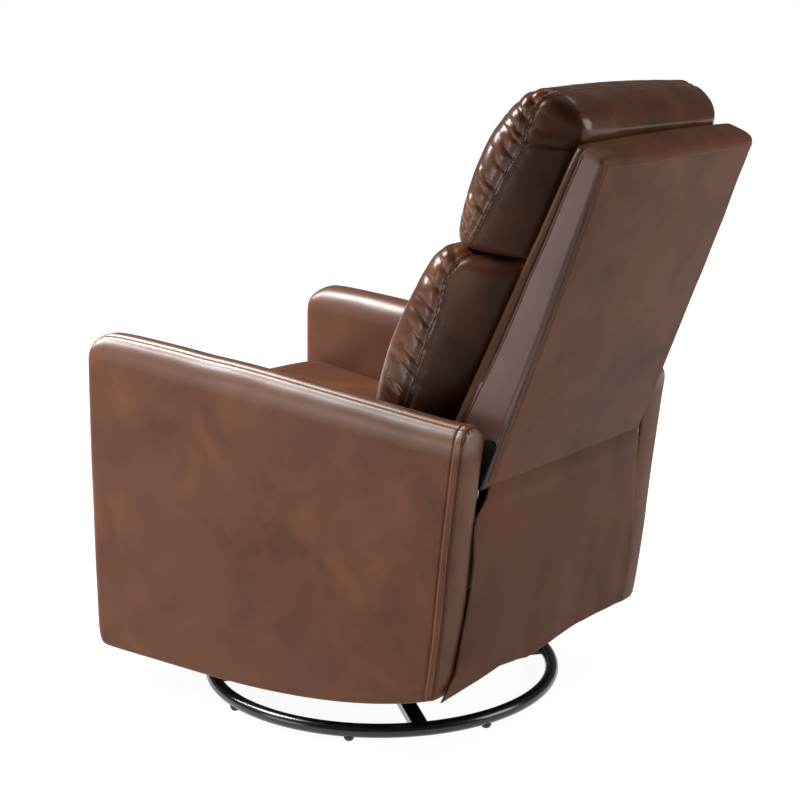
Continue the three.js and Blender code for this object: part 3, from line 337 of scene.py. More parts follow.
class Nodes:
    """Short ways to lay out a material's nodes."""

    def __init__(self, name):
        self.material = bpy.data.materials.new(name)
        self.material.use_nodes = True
        self.tree = self.material.node_tree
        self.shader = self.tree.nodes["Principled BSDF"]
        self.place = self.add("ShaderNodeTexCoord").outputs["Object"]

    def add(self, kind, **values):
        node = self.tree.nodes.new(kind)
        for key, value in values.items():
            setattr(node, key, value)
        return node

    def link(self, source, target):
        self.tree.links.new(source, target)

    def noise(self, scale, detail=3, roughness=0.5, distortion=0.0, place=None):
        node = self.add("ShaderNodeTexNoise")
        node.inputs["Scale"].default_value = scale
        node.inputs["Detail"].default_value = detail
        node.inputs["Roughness"].default_value = roughness
        node.inputs["Distortion"].default_value = distortion
        self.link(place or self.place, node.inputs["Vector"])
        return node.outputs["Fac"]

    def ramp(self, value, *stops):
        node = self.add("ShaderNodeValToRGB")
        elements = node.color_ramp.elements
        while len(elements) < len(stops):
            elements.new(0.5)
        for element, (position, colour) in zip(elements, stops):
            element.position = position
            element.color = (*colour, 1) if len(colour) == 3 else colour
        self.link(value, node.inputs["Fac"])
        return node.outputs["Color"]

    def mix(self, factor, first, second, blend="MIX"):
        node = self.add("ShaderNodeMix", data_type="RGBA", blend_type=blend)
        for value, socket in ((factor, node.inputs[0]), (first, node.inputs[6]), (second, node.inputs[7])):
            if isinstance(value, bpy.types.NodeSocket):
                self.link(value, socket)
            else:
                socket.default_value = value if isinstance(value, float) else (*value, 1)
        return node.outputs[2]

    def scaled(self, value, low, high):
        node = self.add("ShaderNodeMapRange")
        node.inputs["To Min"].default_value = low
        node.inputs["To Max"].default_value = high
        self.link(value, node.inputs["Value"])
        return node.outputs["Result"]

    def sum(self, first, second, operation="ADD"):
        node = self.add("ShaderNodeMath", operation=operation)
        for value, socket in ((first, node.inputs[0]), (second, node.inputs[1])):
            if isinstance(value, bpy.types.NodeSocket):
                self.link(value, socket)
            else:
                socket.default_value = value
        return node.outputs[0]

    def bump(self, height, strength, distance, before=None):
        node = self.add("ShaderNodeBump")
        node.inputs["Strength"].default_value = strength
        node.inputs["Distance"].default_value = distance
        self.link(height, node.inputs["Height"])
        if before:
            self.link(before, node.inputs["Normal"])
        return node.outputs["Normal"]

    def finish(self, colour, roughness, normal=None, **sockets):
        for value, key in ((colour, "Base Color"), (roughness, "Roughness")):
            if isinstance(value, bpy.types.NodeSocket):
                self.link(value, self.shader.inputs[key])
            else:
                self.shader.inputs[key].default_value = value if isinstance(value, float) else (*value, 1)
        if normal:
            self.link(normal, self.shader.inputs["Normal"])
        for key, value in sockets.items():
            self.shader.inputs[key.replace("_", " ")].default_value = value
        return self.material


def leather(name, deep, mid, warm, mauve, rough, grain=0.22, coat=0.05, coat_rough=0.3, specular=0.35, worn=None):
    """Mottled leather with a pebbled grain: clouds of colour, finer stains, a shine where it is worn."""
    n = Nodes(name)
    clouds = n.noise(7.5, 5, 0.6, 0.7)
    tone = n.ramp(clouds, (0.3, deep), (0.5, mid), (0.68, warm))
    drift = n.ramp(n.noise(5.0, 3, 0.5, 0.3), (0.44, (0, 0, 0)), (0.66, (1, 1, 1)))
    tone = n.mix(n.scaled(drift, 0.0, 0.6), tone, mauve)
    streak = n.add("ShaderNodeMapping")
    streak.inputs["Scale"].default_value = (1, 1, 0.35)
    n.link(n.place, streak.inputs["Vector"])
    stains = n.noise(26, 5, 0.6, 0.2, streak.outputs["Vector"])
    tone = n.mix(n.scaled(stains, 0.0, 0.35), tone, deep)
    cells = n.add("ShaderNodeTexVoronoi", feature="SMOOTH_F1")
    cells.inputs["Scale"].default_value = 620
    cells.inputs["Smoothness"].default_value = 0.6
    cells.inputs["Randomness"].default_value = 1.0
    n.link(n.place, cells.inputs["Vector"])
    pebble = cells.outputs["Distance"]
    tone = n.mix(n.scaled(pebble, 0.0, 0.16), tone, deep)
    creases = n.noise(210, 3, 0.6)
    height = n.sum(pebble, n.scaled(creases, 0, 0.5))
    normal = n.bump(height, grain, 0.0006)
    normal = n.bump(n.noise(48, 2, 0.5), 0.12, 0.0016, normal)
    roughness = n.scaled(n.sum(stains, n.scaled(pebble, 0, 0.3)), rough[0], rough[1])
    if worn:
        split = n.add("ShaderNodeSeparateXYZ")
        n.link(n.place, split.inputs[0])
        level = n.sum(split.outputs["Z"], n.sum(split.outputs["Y"], ARM_TOP_SLOPE, "MULTIPLY"))
        shine = n.add("ShaderNodeMapRange")
        for key, value in (("From Min", worn[0]), ("From Max", worn[1]), ("To Min", specular), ("To Max", worn[2])):
            shine.inputs[key].default_value = value
        n.link(level, shine.inputs["Value"])
        n.link(shine.outputs["Result"], n.shader.inputs["Specular IOR Level"])
    return n.finish(
        tone, roughness, normal, Coat_Weight=coat, Coat_Roughness=coat_rough, Specular_IOR_Level=specular
    )


def thread(name, colour):
    n = Nodes(name)
    twist = n.noise(900, 2)
    return n.finish(n.mix(n.scaled(twist, 0, 0.5), colour, tuple(c * 0.4 for c in colour)), 0.6,
                    n.bump(twist, 0.4, 0.0003))


def enamel(name, colour, rough, orange_peel=0.05, coat=0.3):
    n = Nodes(name)
    clouds = n.noise(60, 2)
    tone = n.mix(n.scaled(clouds, 0, 0.4), colour, tuple(c * 0.6 for c in colour))
    return n.finish(tone, n.scaled(n.noise(25, 4), rough * 0.8, rough * 1.25),
                    n.bump(n.noise(180, 2), orange_peel, 0.0005), Coat_Weight=coat, Coat_Roughness=0.12,
                    Specular_IOR_Level=0.15 + coat)


def plated(name, colour, rough):
    n = Nodes(name)
    brushed = n.add("ShaderNodeMapping")
    brushed.inputs["Scale"].default_value = (0.2, 1, 1)
    n.link(n.place, brushed.inputs["Vector"])
    lines = n.noise(420, 3, 0.6, 0.0, brushed.outputs["Vector"])
    bloom = n.noise(14, 4, 0.6)
    tone = n.mix(n.scaled(bloom, 0, 0.5), colour, tuple(c * 0.72 for c in colour))
    return n.finish(tone, n.scaled(bloom, rough * 0.75, rough * 1.4), n.bump(lines, 0.12, 0.0003), Metallic=1.0)


def plywood(name):
    n = Nodes(name)
    grain = n.add("ShaderNodeMapping")
    grain.inputs["Scale"].default_value = (1, 0.06, 1)
    n.link(n.place, grain.inputs["Vector"])
    lines = n.noise(90, 6, 0.65, 1.2, grain.outputs["Vector"])
    tone = n.ramp(lines, (0.3, (0.33, 0.19, 0.085)), (0.55, (0.52, 0.34, 0.17)), (0.75, (0.62, 0.44, 0.25)))
    return n.finish(tone, n.scaled(lines, 0.6, 0.8), n.bump(lines, 0.25, 0.0008))


def moulded(name, colour, rough):
    n = Nodes(name)
    fine = n.noise(700, 2)
    tone = n.mix(n.scaled(n.noise(30, 3), 0, 0.3), colour, tuple(min(1, c * 1.8) for c in colour))
    return n.finish(tone, n.scaled(fine, rough * 0.85, rough * 1.15), n.bump(fine, 0.2, 0.0003))


ARM_TOP_SLOPE = 0.08
BODY_LEATHER = leather(
    "body_leather", (0.08, 0.028, 0.013), (0.125, 0.045, 0.021), (0.17, 0.06, 0.025), (0.11, 0.045, 0.028),
    (0.32, 0.44), grain=0.09, coat=0.0, specular=0.15, worn=(0.55, 0.59, 0.85))
# A copy of the panel leather for the shell's side faces: its mauve-grey tint is painted reflection of the pale floor,
# and its higher specular is real.
SIDE_SHEEN_LEATHER = leather(
    "side_leather_painted_sheen", (0.07, 0.03, 0.022), (0.1, 0.044, 0.034), (0.115, 0.05, 0.036), (0.1, 0.05, 0.045),
    (0.36, 0.46), grain=0.16, coat=0.0, specular=0.42)
PILLOW_LEATHER = leather(
    "pillow_leather", (0.042, 0.014, 0.006), (0.096, 0.032, 0.0125), (0.165, 0.058, 0.022), (0.078, 0.028, 0.014),
    (0.24, 0.34), grain=0.05, coat=0.3, coat_rough=0.15, specular=0.18)
# A much darker copy of the pillow leather: painted shade for the pillows' gussets beside the shell and the shell's
# front fold bands.
SHADE_PAINTED_LEATHER = leather(
    "shade_painted_leather", (0.022, 0.008, 0.004), (0.045, 0.015, 0.007), (0.075, 0.026, 0.011), (0.04, 0.015, 0.009),
    (0.3, 0.42), grain=0.05, coat=0.05, coat_rough=0.2, specular=0.08)
PANEL_LEATHER = leather(
    "panel_leather", (0.07, 0.028, 0.017), (0.12, 0.047, 0.026), (0.15, 0.058, 0.03), (0.115, 0.05, 0.034),
    (0.36, 0.48), grain=0.09, coat=0.0, specular=0.065)
TAN_THREAD = thread("tan_thread", (0.5, 0.25, 0.11))
# Near-black tubes laid along seams: painted shade in the seam grooves.
SEAM_SHADE = thread("seam_shade", (0.022, 0.008, 0.004))
RUST_THREAD = thread("rust_thread", (0.26, 0.095, 0.04))
PILLOW_THREAD = thread("pillow_thread", (0.27, 0.11, 0.055))
BROWN_THREAD = thread("brown_thread", (0.13, 0.045, 0.025))
BLACK_ENAMEL = enamel("black_enamel", (0.006, 0.006, 0.007), 0.22)
# Black paint made nearly black and dull, so the parts seen in the gap between arm and back read as painted shade.
GAP_SHADE_STEEL = enamel("dark_steel_gap_shade", (0.006, 0.005, 0.005), 0.6, 0.15, coat=0.0)
# Steel toned well below bare steel: painted shade for the pins and plates seen in the gap.
SHADE_DARKENED_STEEL = plated("steel_darkened_for_shade", (0.2, 0.2, 0.21), 0.42)
PLYWOOD = plywood("plywood_grain")
BLACK_PLASTIC = moulded("black_moulding", (0.012, 0.012, 0.013), 0.45)

# Finishes of the carried-over frame nodes

FINISHES = {
    "black_enamel": BLACK_ENAMEL,
    "glide_plastic": BLACK_PLASTIC,
    "steel": SHADE_DARKENED_STEEL,
    "dark_steel": GAP_SHADE_STEEL,
    "plywood": PLYWOOD,
    "leather": BODY_LEATHER,
    "pillow_leather": PILLOW_LEATHER,
    "black_plastic": BLACK_PLASTIC,
}
for subpart in frame["record"]["subparts"]:
    node = frame["nodes"][subpart["node"]]
    for material_slot in node.material_slots:
        material_slot.material = FINISHES[subpart["material_slot"]]

# Arms
ARM_TOP_RADIUS = 30
ARM_FRONT_RADIUS = 22
ARM_REAR_RADIUS = 9
ARM_FOOT_RADIUS = 8
ARM_SEAM = 13.5
ARM_REAR = np.array([
    (342, 140), (346.5, 166), (355, 226), (361.5, 278), (369, 356), (374.5, 403), (381.5, 459), (388.5, 515),
    (394, 552)])


def arm_rear_y(z):
    return np.interp(z, ARM_REAR[:, 1], ARM_REAR[:, 0])


def arm_edges():
    """The arm's side outline, (y, z), as its foot, top, front and rear edges between four corners."""
    foot_corner = bezier((329, 126), (341, 127), ARM_REAR[0], steps=16)
    top_corner = bezier(ARM_REAR[-1], (396.5, 577), (380, 577.5), steps=16)
    foot = np.vstack([
        arc((-375, 88), 28, 225, 270, 8),
        bezier((-375, 60), (-260, 60), (-153, 60), steps=10),
        bezier((-153, 60), (64, 60), (214, 86), (329, 126), steps=40),
        foot_corner[:9],
    ])
    rear = np.vstack([foot_corner[8:], smooth_line(ARM_REAR, False, 6)[:-1], top_corner[:9]])
    crest = smooth_line([(380, 577.5), (326, 581.5), (157, 597.5), (-36, 616), (-131, 622), (-205, 628),
                         (-302, 634), (-347, 635)], False, 6)
    top = np.vstack([top_corner[8:], crest[:-1], arc((-347, 579), 56, 90, 138, 14)])[::-1]
    front = np.vstack([
        arc((-347, 579), 56, 135, 180, 12),
        bezier((-403, 579), (-408.5, 330), (-403, 88), steps=30),
        arc((-375, 88), 28, 180, 228, 9),
    ])[::-1]
    return foot, top, front, rear


def along(path, shares):
    """Points at shares of a path's length."""
    run = np.concatenate([[0], np.cumsum(np.linalg.norm(np.diff(path, axis=0), axis=1))])
    return np.stack([np.interp(shares * run[-1], run, path[:, k]) for k in range(path.shape[1])], 1)


def border_shares(low, high, low_steps, high_steps, count, extra=()):
    """Shares from 0 to 1, close together in the two rounded borders."""
    start = low * (1 - np.cos(np.linspace(0, math.pi / 2, low_steps)))
    end = 1 - high * (1 - np.cos(np.linspace(0, math.pi / 2, high_steps)))
    return np.unique(np.concatenate([start, np.linspace(low, 1 - high, count), end, extra]).round(7))


def spanned(edges, half, radii, shares, steps, rim_steps, swell, bulge):
    """A panel spanned by its foot, top, front and rear edges, rounded into each, centred on x = 0.
    The radii go with the front, rear, foot and top."""
    foot, top, front, rear = edges
    corner = [(foot[0] + front[0]) / 2, (foot[-1] + rear[0]) / 2, (top[0] + front[-1]) / 2, (top[-1] + rear[-1]) / 2]
    foot[0], front[0], foot[-1], rear[0] = corner[0], corner[0], corner[1], corner[1]
    top[0], front[-1], top[-1], rear[-1] = corner[2], corner[2], corner[3], corner[3]
    u = border_shares(shares[0], shares[1], *steps[0])
    v = border_shares(shares[2], shares[3], *steps[1])
    lower, upper, ahead, behind = along(foot, u), along(top, u), along(front, v), along(rear, v)
    across, high = u[:, None, None], v[None, :, None]
    flat = ((1 - high) * lower[:, None] + high * upper[:, None] + (1 - across) * ahead[None]
            + across * behind[None] - (1 - across) * (1 - high) * corner[0] - across * (1 - high) * corner[1]
            - (1 - across) * high * corner[2] - across * high * corner[3])
    near = np.stack(np.broadcast_arrays(
        np.clip(1 - u / shares[0], 0, 1)[:, None], np.clip(1 - (1 - u) / shares[1], 0, 1)[:, None],
        np.clip(1 - v / shares[2], 0, 1)[None], np.clip(1 - (1 - v) / shares[3], 0, 1)[None]))
    weights = near**5 + 1e-9
    radius = (weights * np.array(radii)[:, None, None]).sum(0) / weights.sum(0)
    close = np.clip((near**6).sum(0) ** (1 / 6), 0, 1)
    swollen = swell * (np.sin(math.pi * u) ** 0.7)[:, None] * (np.sin(math.pi * v) ** 0.7)[None]
    x = half - radius * (1 - np.sqrt(1 - close**2)) + swollen
    rows, columns = x.shape
    side = np.dstack([x, flat]).reshape(-1, 3)
    index = np.arange(rows * columns).reshape(rows, columns)
    quads = np.stack([index[:-1, :-1], index[1:, :-1], index[1:, 1:], index[:-1, 1:]], -1).reshape(-1, 4)
    loop = np.concatenate([index[:-1, 0], index[-1, :-1], index[:0:-1, -1], index[0, :0:-1]])
    count = len(side)
    verts = [side, side * [-1, 1, 1]]
    faces = [quads, quads[:, ::-1] + count]
    edge = side[loop]
    out = np.roll(edge[:, 1:], -1, 0) - np.roll(edge[:, 1:], 1, 0)
    out = np.stack([out[:, 1], -out[:, 0]], 1)
    out /= np.maximum(np.linalg.norm(out, axis=1, keepdims=True), 1e-9)
    previous, total = loop, 2 * count
    for step in np.linspace(1, -1, rim_steps)[1:-1]:
        lift = bulge(out) * (1 - step**2) * np.clip(edge[:, 0] / half, 0, 1)
        row = np.column_stack([edge[:, 0] * step, edge[:, 1:] + out * lift[:, None]])
        current = total + np.arange(len(loop))
        verts.append(row)
        faces.append(np.stack([previous, current, np.roll(current, -1), np.roll(previous, -1)], 1))
        previous, total = current, total + len(loop)
    current = loop + count
    faces.append(np.stack([previous, current, np.roll(current, -1), np.roll(previous, -1)], 1))
    return np.vstack(verts), np.vstack(faces)


def arm_blank():
    """The arm before its waves and seams."""
    length, height = 790, 520
    shares = (ARM_FRONT_RADIUS / length, ARM_REAR_RADIUS / length, ARM_FOOT_RADIUS / height, 41 / height)
    band = 1 - np.arange(ARM_REAR_RADIUS, 24, 1.1) / length
    return spanned(
        arm_edges(), ARM_HALF, (ARM_FRONT_RADIUS, ARM_REAR_RADIUS, ARM_FOOT_RADIUS, ARM_TOP_RADIUS), shares,
        ((14, 8, 125, band), (6, 26, 74)), 15, 2.2, lambda out: 1.6)


def relaxed(verts, faces, weight, rounds):
    """Vertices eased toward the middle of their neighbours, by a weight each."""
    pairs = np.vstack([faces[:, [k, (k + 1) % 4]] for k in range(4)])
    pairs = np.vstack([pairs, pairs[:, ::-1]])
    weight = np.where(weight > 0.001, weight, 0)
    pairs = pairs[weight[pairs[:, 0]] > 0]
    number = np.maximum(np.bincount(pairs[:, 0], minlength=len(verts)), 1)
    out = verts.copy()
    for _ in range(rounds):
        total = [np.bincount(pairs[:, 0], out[pairs[:, 1], k], len(out)) for k in range(3)]
        out += (np.stack(total, 1) / number[:, None] - out) * weight[:, None]
    return out


def arm_surface(seed):
    """An arm centred on x = 0 with its outer face towards +x: crest seam, rear band, slight waves."""
    verts, quads = arm_blank()
    x, y, z = verts.T
    corners = ((-386, 618, 45), (-395, 68, 30), (394, 572, 18), (341, 132, 16))
    eased = sum(np.exp(-(((y - a) ** 2 + (z - b) ** 2) / c**2)) for a, b, c in corners)
    verts = relaxed(verts, quads, np.clip(eased, 0, 1) * 0.5, 12)
    faces = [tuple(f) for f in quads]
    normals = vertex_normals(verts, faces)
    x, y, z = verts.T
    wave_y, wave_z = smooth_noise(seed), smooth_noise(seed + 1)
    swell = 1.1 * wave_y(y / 120 + 7) * wave_z(z / 150 + y / 400) + 0.5 * wave_z(z / 60 - y / 90)
    side = np.clip(np.abs(normals[:, 0]) - 0.5, 0, 0.5) * 2
    on_top = np.clip((normals[:, 2] - 0.3) / 0.3, 0, 1)
    seam = x - ARM_SEAM
    dip = 1.5 * np.exp(-((seam / 1.3) ** 2)) - 0.9 * np.exp(-(((np.abs(seam) - 4.2) / 3.0) ** 4))
    behind = arm_rear_y(np.clip(z, 140, 550)) - y
    band = (1.1 * np.exp(-(((behind - 9.5) / 6.5) ** 4)) - 1.6 * np.exp(-(((behind - 18) / 1.5) ** 2))
            - 1.2 * np.exp(-((behind / 1.8) ** 2))) * (normals[:, 1] < 0.8) * (z > 130)
    verts = verts + normals * (swell * side - dip * on_top + band)[:, None]
    return verts, faces


def make_arm(name, node, side):
    verts, faces = arm_surface(11 if side > 0 else 23)
    surface = Surface(verts, faces)
    turn_sin, turn_cos = math.sin(ARM_SPLAY), math.cos(ARM_SPLAY)

    def placed(part):
        v, f = part
        x, y = v[:, 0] + ARM_HALF, v[:, 1] - ARM_END_Y
        stood = np.column_stack([
            side * (ARM_INNER_X + x * turn_cos - y * turn_sin), ARM_END_Y + x * turn_sin + y * turn_cos, v[:, 2]])
        return stood, (f if side > 0 else [tuple(face)[::-1] for face in f])

    cover = new_object(name, *placed((verts, faces)), BODY_LEATHER, "seat")
    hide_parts(node)

    _, top, front, _ = arm_edges()
    line = evenly(np.vstack([top[::-1][6:], front[::-1][2:-12]]), 4, closed=False)
    rows = []
    for offset in (-3.9, 3.9):
        path = np.column_stack([np.full(len(line), ARM_SEAM + offset), line])
        rows.append(stitches(surface, path, 4.8, 3.3, 0.85, 0.35))
    thread_piece = new_object(name + "_crest_stitch", *placed(merged(rows)), TAN_THREAD, "seat")

    heights = np.linspace(136, 548, 90)
    border = []
    for inset in (1.0,):
        w = ARM_HALF - inset
        outer = np.column_stack([np.full(90, w), arm_rear_y(heights) - 1, heights])
        turn = np.linspace(0, math.pi, 40)[1:-1]
        arch = np.column_stack([w * np.cos(turn), np.full(38, 392.0), 548 + 29 * np.sin(turn) ** 0.9])
        border.append(np.vstack([outer, arch, outer[::-1] * [-1, 1, 1]]))
    # A near-black tube round the rear panel: painted shade in its seam groove.
    piping = new_object(name + "_rear_seam_shade", *placed(welt(surface, evenly(border[0], 3, closed=False), 0.9, 0.4)),
                        SEAM_SHADE, "seat")
    rows = []
    for back_off in (5, 13.5):
        w = ARM_HALF + 1
        outer = np.column_stack([np.full(90, w), arm_rear_y(heights) - back_off, heights])
        turn = np.linspace(0, math.pi, 30)[1:-1]
        arch = np.column_stack([w * np.cos(turn), np.full(28, 393.0 - back_off), 548 + 31 * np.sin(turn) ** 0.9])
        path = np.vstack([outer, arch, outer[::-1] * [-1, 1, 1]])
        rows.append(stitches(surface, path, 4.8, 3.4, 0.7, 0.25))
    seam_thread = new_object(name + "_rear_stitch", *placed(merged(rows)), RUST_THREAD, "seat")


make_arm("arm_cover_left", "arm_left", 1)
make_arm("arm_cover_right", "arm_right", -1)

# Pillows

PILLOW_HALF = 231

# Side outlines and side seams: depth forward of the back's face and height up the back
HEAD_SIDE = (
    (0, 430), (21, 420), (58, 404), (86, 393), (104, 389), (118, 391), (131, 402), (141, 424), (148, 461),
    (151, 507), (149, 559), (142, 596), (130, 628), (112, 658), (92, 676), (70, 684), (48, 684), (26, 676),
    (8, 660), (0, 640), (0, 560), (0, 480),
)
HEAD_SEAM = ((100, 398), (93, 427), (88.6, 480), (85, 530), (78.5, 586), (82, 618), (83.6, 650), (80, 672))
HEAD_CORNERS = ((0, 432), (122, 394), (100, 668), (12, 664))
HEAD_CREST = 70
HEAD_CUTS = (8, 36, 58, 84, 99, 134, 160, 186, 199, 224, 250)
HEAD_SWELLS = (1.6, 3.4, 1.6, 3.8, 2.0, 4.0, 2.6, 4.2, 5.2, 5.4, 3.0)
LUMBAR_SIDE = (
    (10, -8), (70, -9), (115, 4), (145, 40), (162, 99), (172, 165), (173, 215), (171, 260), (163, 325),
    (152, 356), (136, 376), (112, 386), (86, 391), (58, 400), (22, 414), (0, 424), (0, 300), (0, 200), (0, 40),
)
LUMBAR_SEAM = ((75, 5), (80, 60), (82.9, 122.6), (87.4, 157), (93.8, 220), (98.3, 279), (108.6, 335), (101, 385))
LUMBAR_CORNERS = ((0, 10), (122, 10), (140, 372), (0, 420))
LUMBAR_CREST = 95
LUMBAR_CUTS = (20, 55, 88, 118, 152, 178, 214, 243, 270, 305, 336, 360)
LUMBAR_SWELLS = (2.0, 2.6, 3.6, 1.8, 4.0, 2.4, 4.0, 2.2, 4.2, 4.6, 6.0, 4.0)


def pillow_edges(outline, corners):
    """A pillow's side outline, (rearward, up), as its foot, top, front and rear edges.
    The corners are the rear foot, front foot, front top and rear top."""
    line = smooth_line(outline, True, 2)
    line[:, 0] = np.maximum(line[:, 0], 0)
    at = [int(np.argmin(np.linalg.norm(line - corner, axis=1))) for corner in corners]
    line = np.roll(line, -at[0], 0)
    _, a, b, c = ((k - at[0]) % len(line) for k in at)
    line = np.vstack([line, line[:1]]) * [-1, 1]
    return line[: a + 1][::-1].copy(), line[b : c + 1].copy(), line[a : b + 1].copy(), line[c:][::-1].copy()


def seam_route(seam, crest_depth, height):
    """The side seam from its foot up to the top corner and across the crest to the middle."""
    side = smooth_line(seam, False, 3)
    side = np.column_stack([np.full(len(side), PILLOW_HALF + 6.0), side])
    turn = np.linspace(0, 1, 14)[1:, None]
    start, end = np.array([PILLOW_HALF + 4.0, *side[-1, 1:]]), np.array([PILLOW_HALF - 42, crest_depth, height])
    corner = start * (1 - turn) ** 2 + 2 * turn * (1 - turn) * np.array([PILLOW_HALF - 4, *end[1:]]) + end * turn**2
    across = np.linspace(1, 0, 60)[1:, None]
    top = end * across + np.array([0, crest_depth, height]) * (1 - across)
    return np.vstack([side, corner, top])


def pleats(s, cuts, swells, seed):
    """Which pleat a place on the seam is in: its share between two tucks, its height, way to the tuck."""
    rng = np.random.default_rng(seed)
    cuts, swells = list(cuts), list(swells)
    while cuts[-1] < 620:
        cuts.append(cuts[-1] + rng.uniform(26, 46))
        swells.append(rng.uniform(1.0, 2.4))
    cuts = np.array([-40, *cuts])
    swells = np.array([3.0, *swells, 2.0])
    number = np.clip(np.searchsorted(cuts, s) - 1, 0, len(cuts) - 2)
    share = np.clip((s - cuts[number]) / (cuts[number + 1] - cuts[number]), 0, 1)
    to_tuck = np.abs(s[:, None] - cuts[None]).min(1)
    return share, swells[number], to_tuck


def gathers(s, distance, ahead, x, cuts, swells, seed):
    """Height of the gathered leather beside a seam: a felled ridge in a groove, pleats that fan out of it."""
    fine, middle, wander = smooth_noise(seed), smooth_noise(seed + 1), smooth_noise(seed + 2)
    slant = np.where(ahead, 0.5, -0.25) * distance * np.clip(1 - distance / 160, 0, 1)
    drift = s - slant + 3.0 * wander(distance / 14 + s / 60) * np.clip(distance / 18, 0, 1)
    share, swell, to_tuck = pleats(drift, cuts, swells, seed + 3)
    puff = (1 - (2 * share - 1) ** 2) ** 0.8 * swell
    reach = 25 + 8 * middle(s / 33) + 2.4 * swell
    rise = 1 - np.exp(-distance / 6)
    tuck = 1.6 * np.exp(-((to_tuck / (2.2 + 0.1 * distance)) ** 2)) * np.exp(-distance / 30)
    slit = np.abs((s + 2.2 * fine(s / 7)) % 8.6 - 4.3)
    slit = 1.5 * np.exp(-((slit / 0.9) ** 2)) * np.exp(-distance / 6) * (0.4 + np.abs(middle(s / 21)))
    tiny = 0.3 * np.sin(2 * math.pi * s / (5.6 + 1.2 * fine(s / 19))) * np.exp(-distance / 5)
    small = 0.35 * fine(drift / 9) * np.exp(-distance / 14)
    soft = 0.9 * wander(s / 48 + distance / 70) * (1 - np.exp(-distance / 30))
    tuck += 2.2 * np.exp(-((to_tuck / 1.5) ** 2)) * np.exp(-distance / 12)
    front = puff * rise * np.exp(-((distance / reach) ** 2)) - (tuck + slit) * rise + tiny + small + soft
    rear = (0.24 * puff * np.exp(-((distance / 22) ** 2)) - 0.4 * tuck * np.exp(-distance / 12)) * rise
    rear += 0.7 * tiny + 0.4 * small + 0.5 * soft
    groove = -4.6 * np.exp(-((distance / 7.5) ** 2)) + 2.8 * np.exp(-((distance / 3.0) ** 4))
    calm = 0.3 + 0.7 * np.clip((x - PILLOW_HALF + 60) / 40, 0, 1)
    return (np.where(ahead, front, rear) + groove - 0.7 * np.exp(-((distance / 0.8) ** 2))) * calm


def pillow(outline, corners, seam_points, crest, cuts, swells, seed):
    """A gathered pillow in the back's frame: (x, forward, up), with its seam."""
    edges = pillow_edges(outline, corners)
    height = np.ptp(edges[2][:, 1])
    verts, quads = spanned(
        edges, PILLOW_HALF, (38, 42, 26, 26), (0.28, 0.6, 26 / height, 26 / height),
        ((16, 30, 8), (10, 10, int(height / 3.2))), 116, 7, lambda out: 1 + 7 * np.clip(-out[:, 0], 0, 1))
    eased = np.clip((np.abs(verts[:, 0]) - PILLOW_HALF + 60) / 12, 0, 1)
    verts = relaxed(verts, quads, 0.5 * eased, 8)
    far = np.hypot(verts[:, 1] + 8, verts[:, 2] - edges[1][:, 1].max())
    eased = np.clip((np.abs(verts[:, 0]) - PILLOW_HALF + 110) / 40, 0, 1) * np.exp(-((far / 52) ** 2))
    verts = relaxed(verts, quads, 0.5 * eased, 70) * [1, -1, 1]
    faces = [tuple(f)[::-1] for f in quads]
    surface = Surface(verts, faces)
    route = []
    for point in seam_route(seam_points, crest, max(up for _, up in outline)):
        place, normal = surface.nearest(point)
        route.append((*place, *normal))
    route = np.array(route)
    for _ in range(6):
        route[1:-1] = (route[:-2] + 2 * route[1:-1] + route[2:]) / 4
    seam, outward = route[:, :3], route[:, 3:]
    course = np.gradient(seam, axis=0)
    course /= np.linalg.norm(course, axis=1, keepdims=True)
    front = np.cross(outward, course)
    front *= np.sign(front[:, 1:2] + 1e-6)
    front /= np.linalg.norm(front, axis=1, keepdims=True)
    run = np.concatenate([[0], np.cumsum(np.linalg.norm(np.diff(seam, axis=0), axis=1))])

    normals = vertex_normals(verts, faces)
    out, behind = verts.copy(), np.zeros(len(verts), bool)
    for side in (1, -1):
        mine = np.where(verts[:, 0] * side >= 0)[0]
        p = verts[mine] * [side, 1, 1]
        nearest = np.zeros(len(p), int)
        for start in range(0, len(p), 4000):
            block = p[start : start + 4000]
            nearest[start : start + 4000] = np.argmin(((block[:, None] - seam[None]) ** 2).sum(-1), axis=1)
        away = p - seam[nearest]
        distance = np.linalg.norm(away, axis=1)
        s = run[nearest] + np.sum(away * course[nearest], axis=1)
        ahead = np.sum(away * front[nearest], axis=1) >= 0
        lift = gathers(s, distance, ahead, p[:, 0], cuts, swells, seed + (0 if side > 0 else 50))
        out[mine] += normals[mine] * lift[:, None]
        # Faces behind the seam at the pillow's sides: these get the painted-shade leather.
        behind[mine] = ~ahead & (p[:, 0] > PILLOW_HALF - 24)
    return out, faces, seam, front, behind


def head_warp(verts):
    """The crest sits lower toward the sitter's right, and that end is drawn in."""
    out = verts.copy()
    x, _, up = verts.T
    high = np.clip((up - 520) / 165, 0, 1) ** 1.5
    far = (PILLOW_HALF - x) / (2 * PILLOW_HALF)
    out[:, 2] -= high * (8 + 12 * far)
    out[:, 0] += np.clip((-x - 120) / 110, 0, 1) * 9 * np.clip((up - 560) / 80, 0, 1)
    return out


def head_gusset(verts, normals):
    """The seam across the head pillow's side, from the side seam back to the shell."""
    x, forward, up = verts.T
    past = up - (592 + (78 - forward) * 0.385)
    side = np.clip((np.abs(normals[:, 0]) - 0.15) / 0.3, 0, 1) * np.clip((80 - forward) / 8, 0, 1)
    return side * (-3.2 * np.exp(-((past / 3) ** 2)) + 1.6 * np.exp(-(((past - 12) / 8) ** 2)))


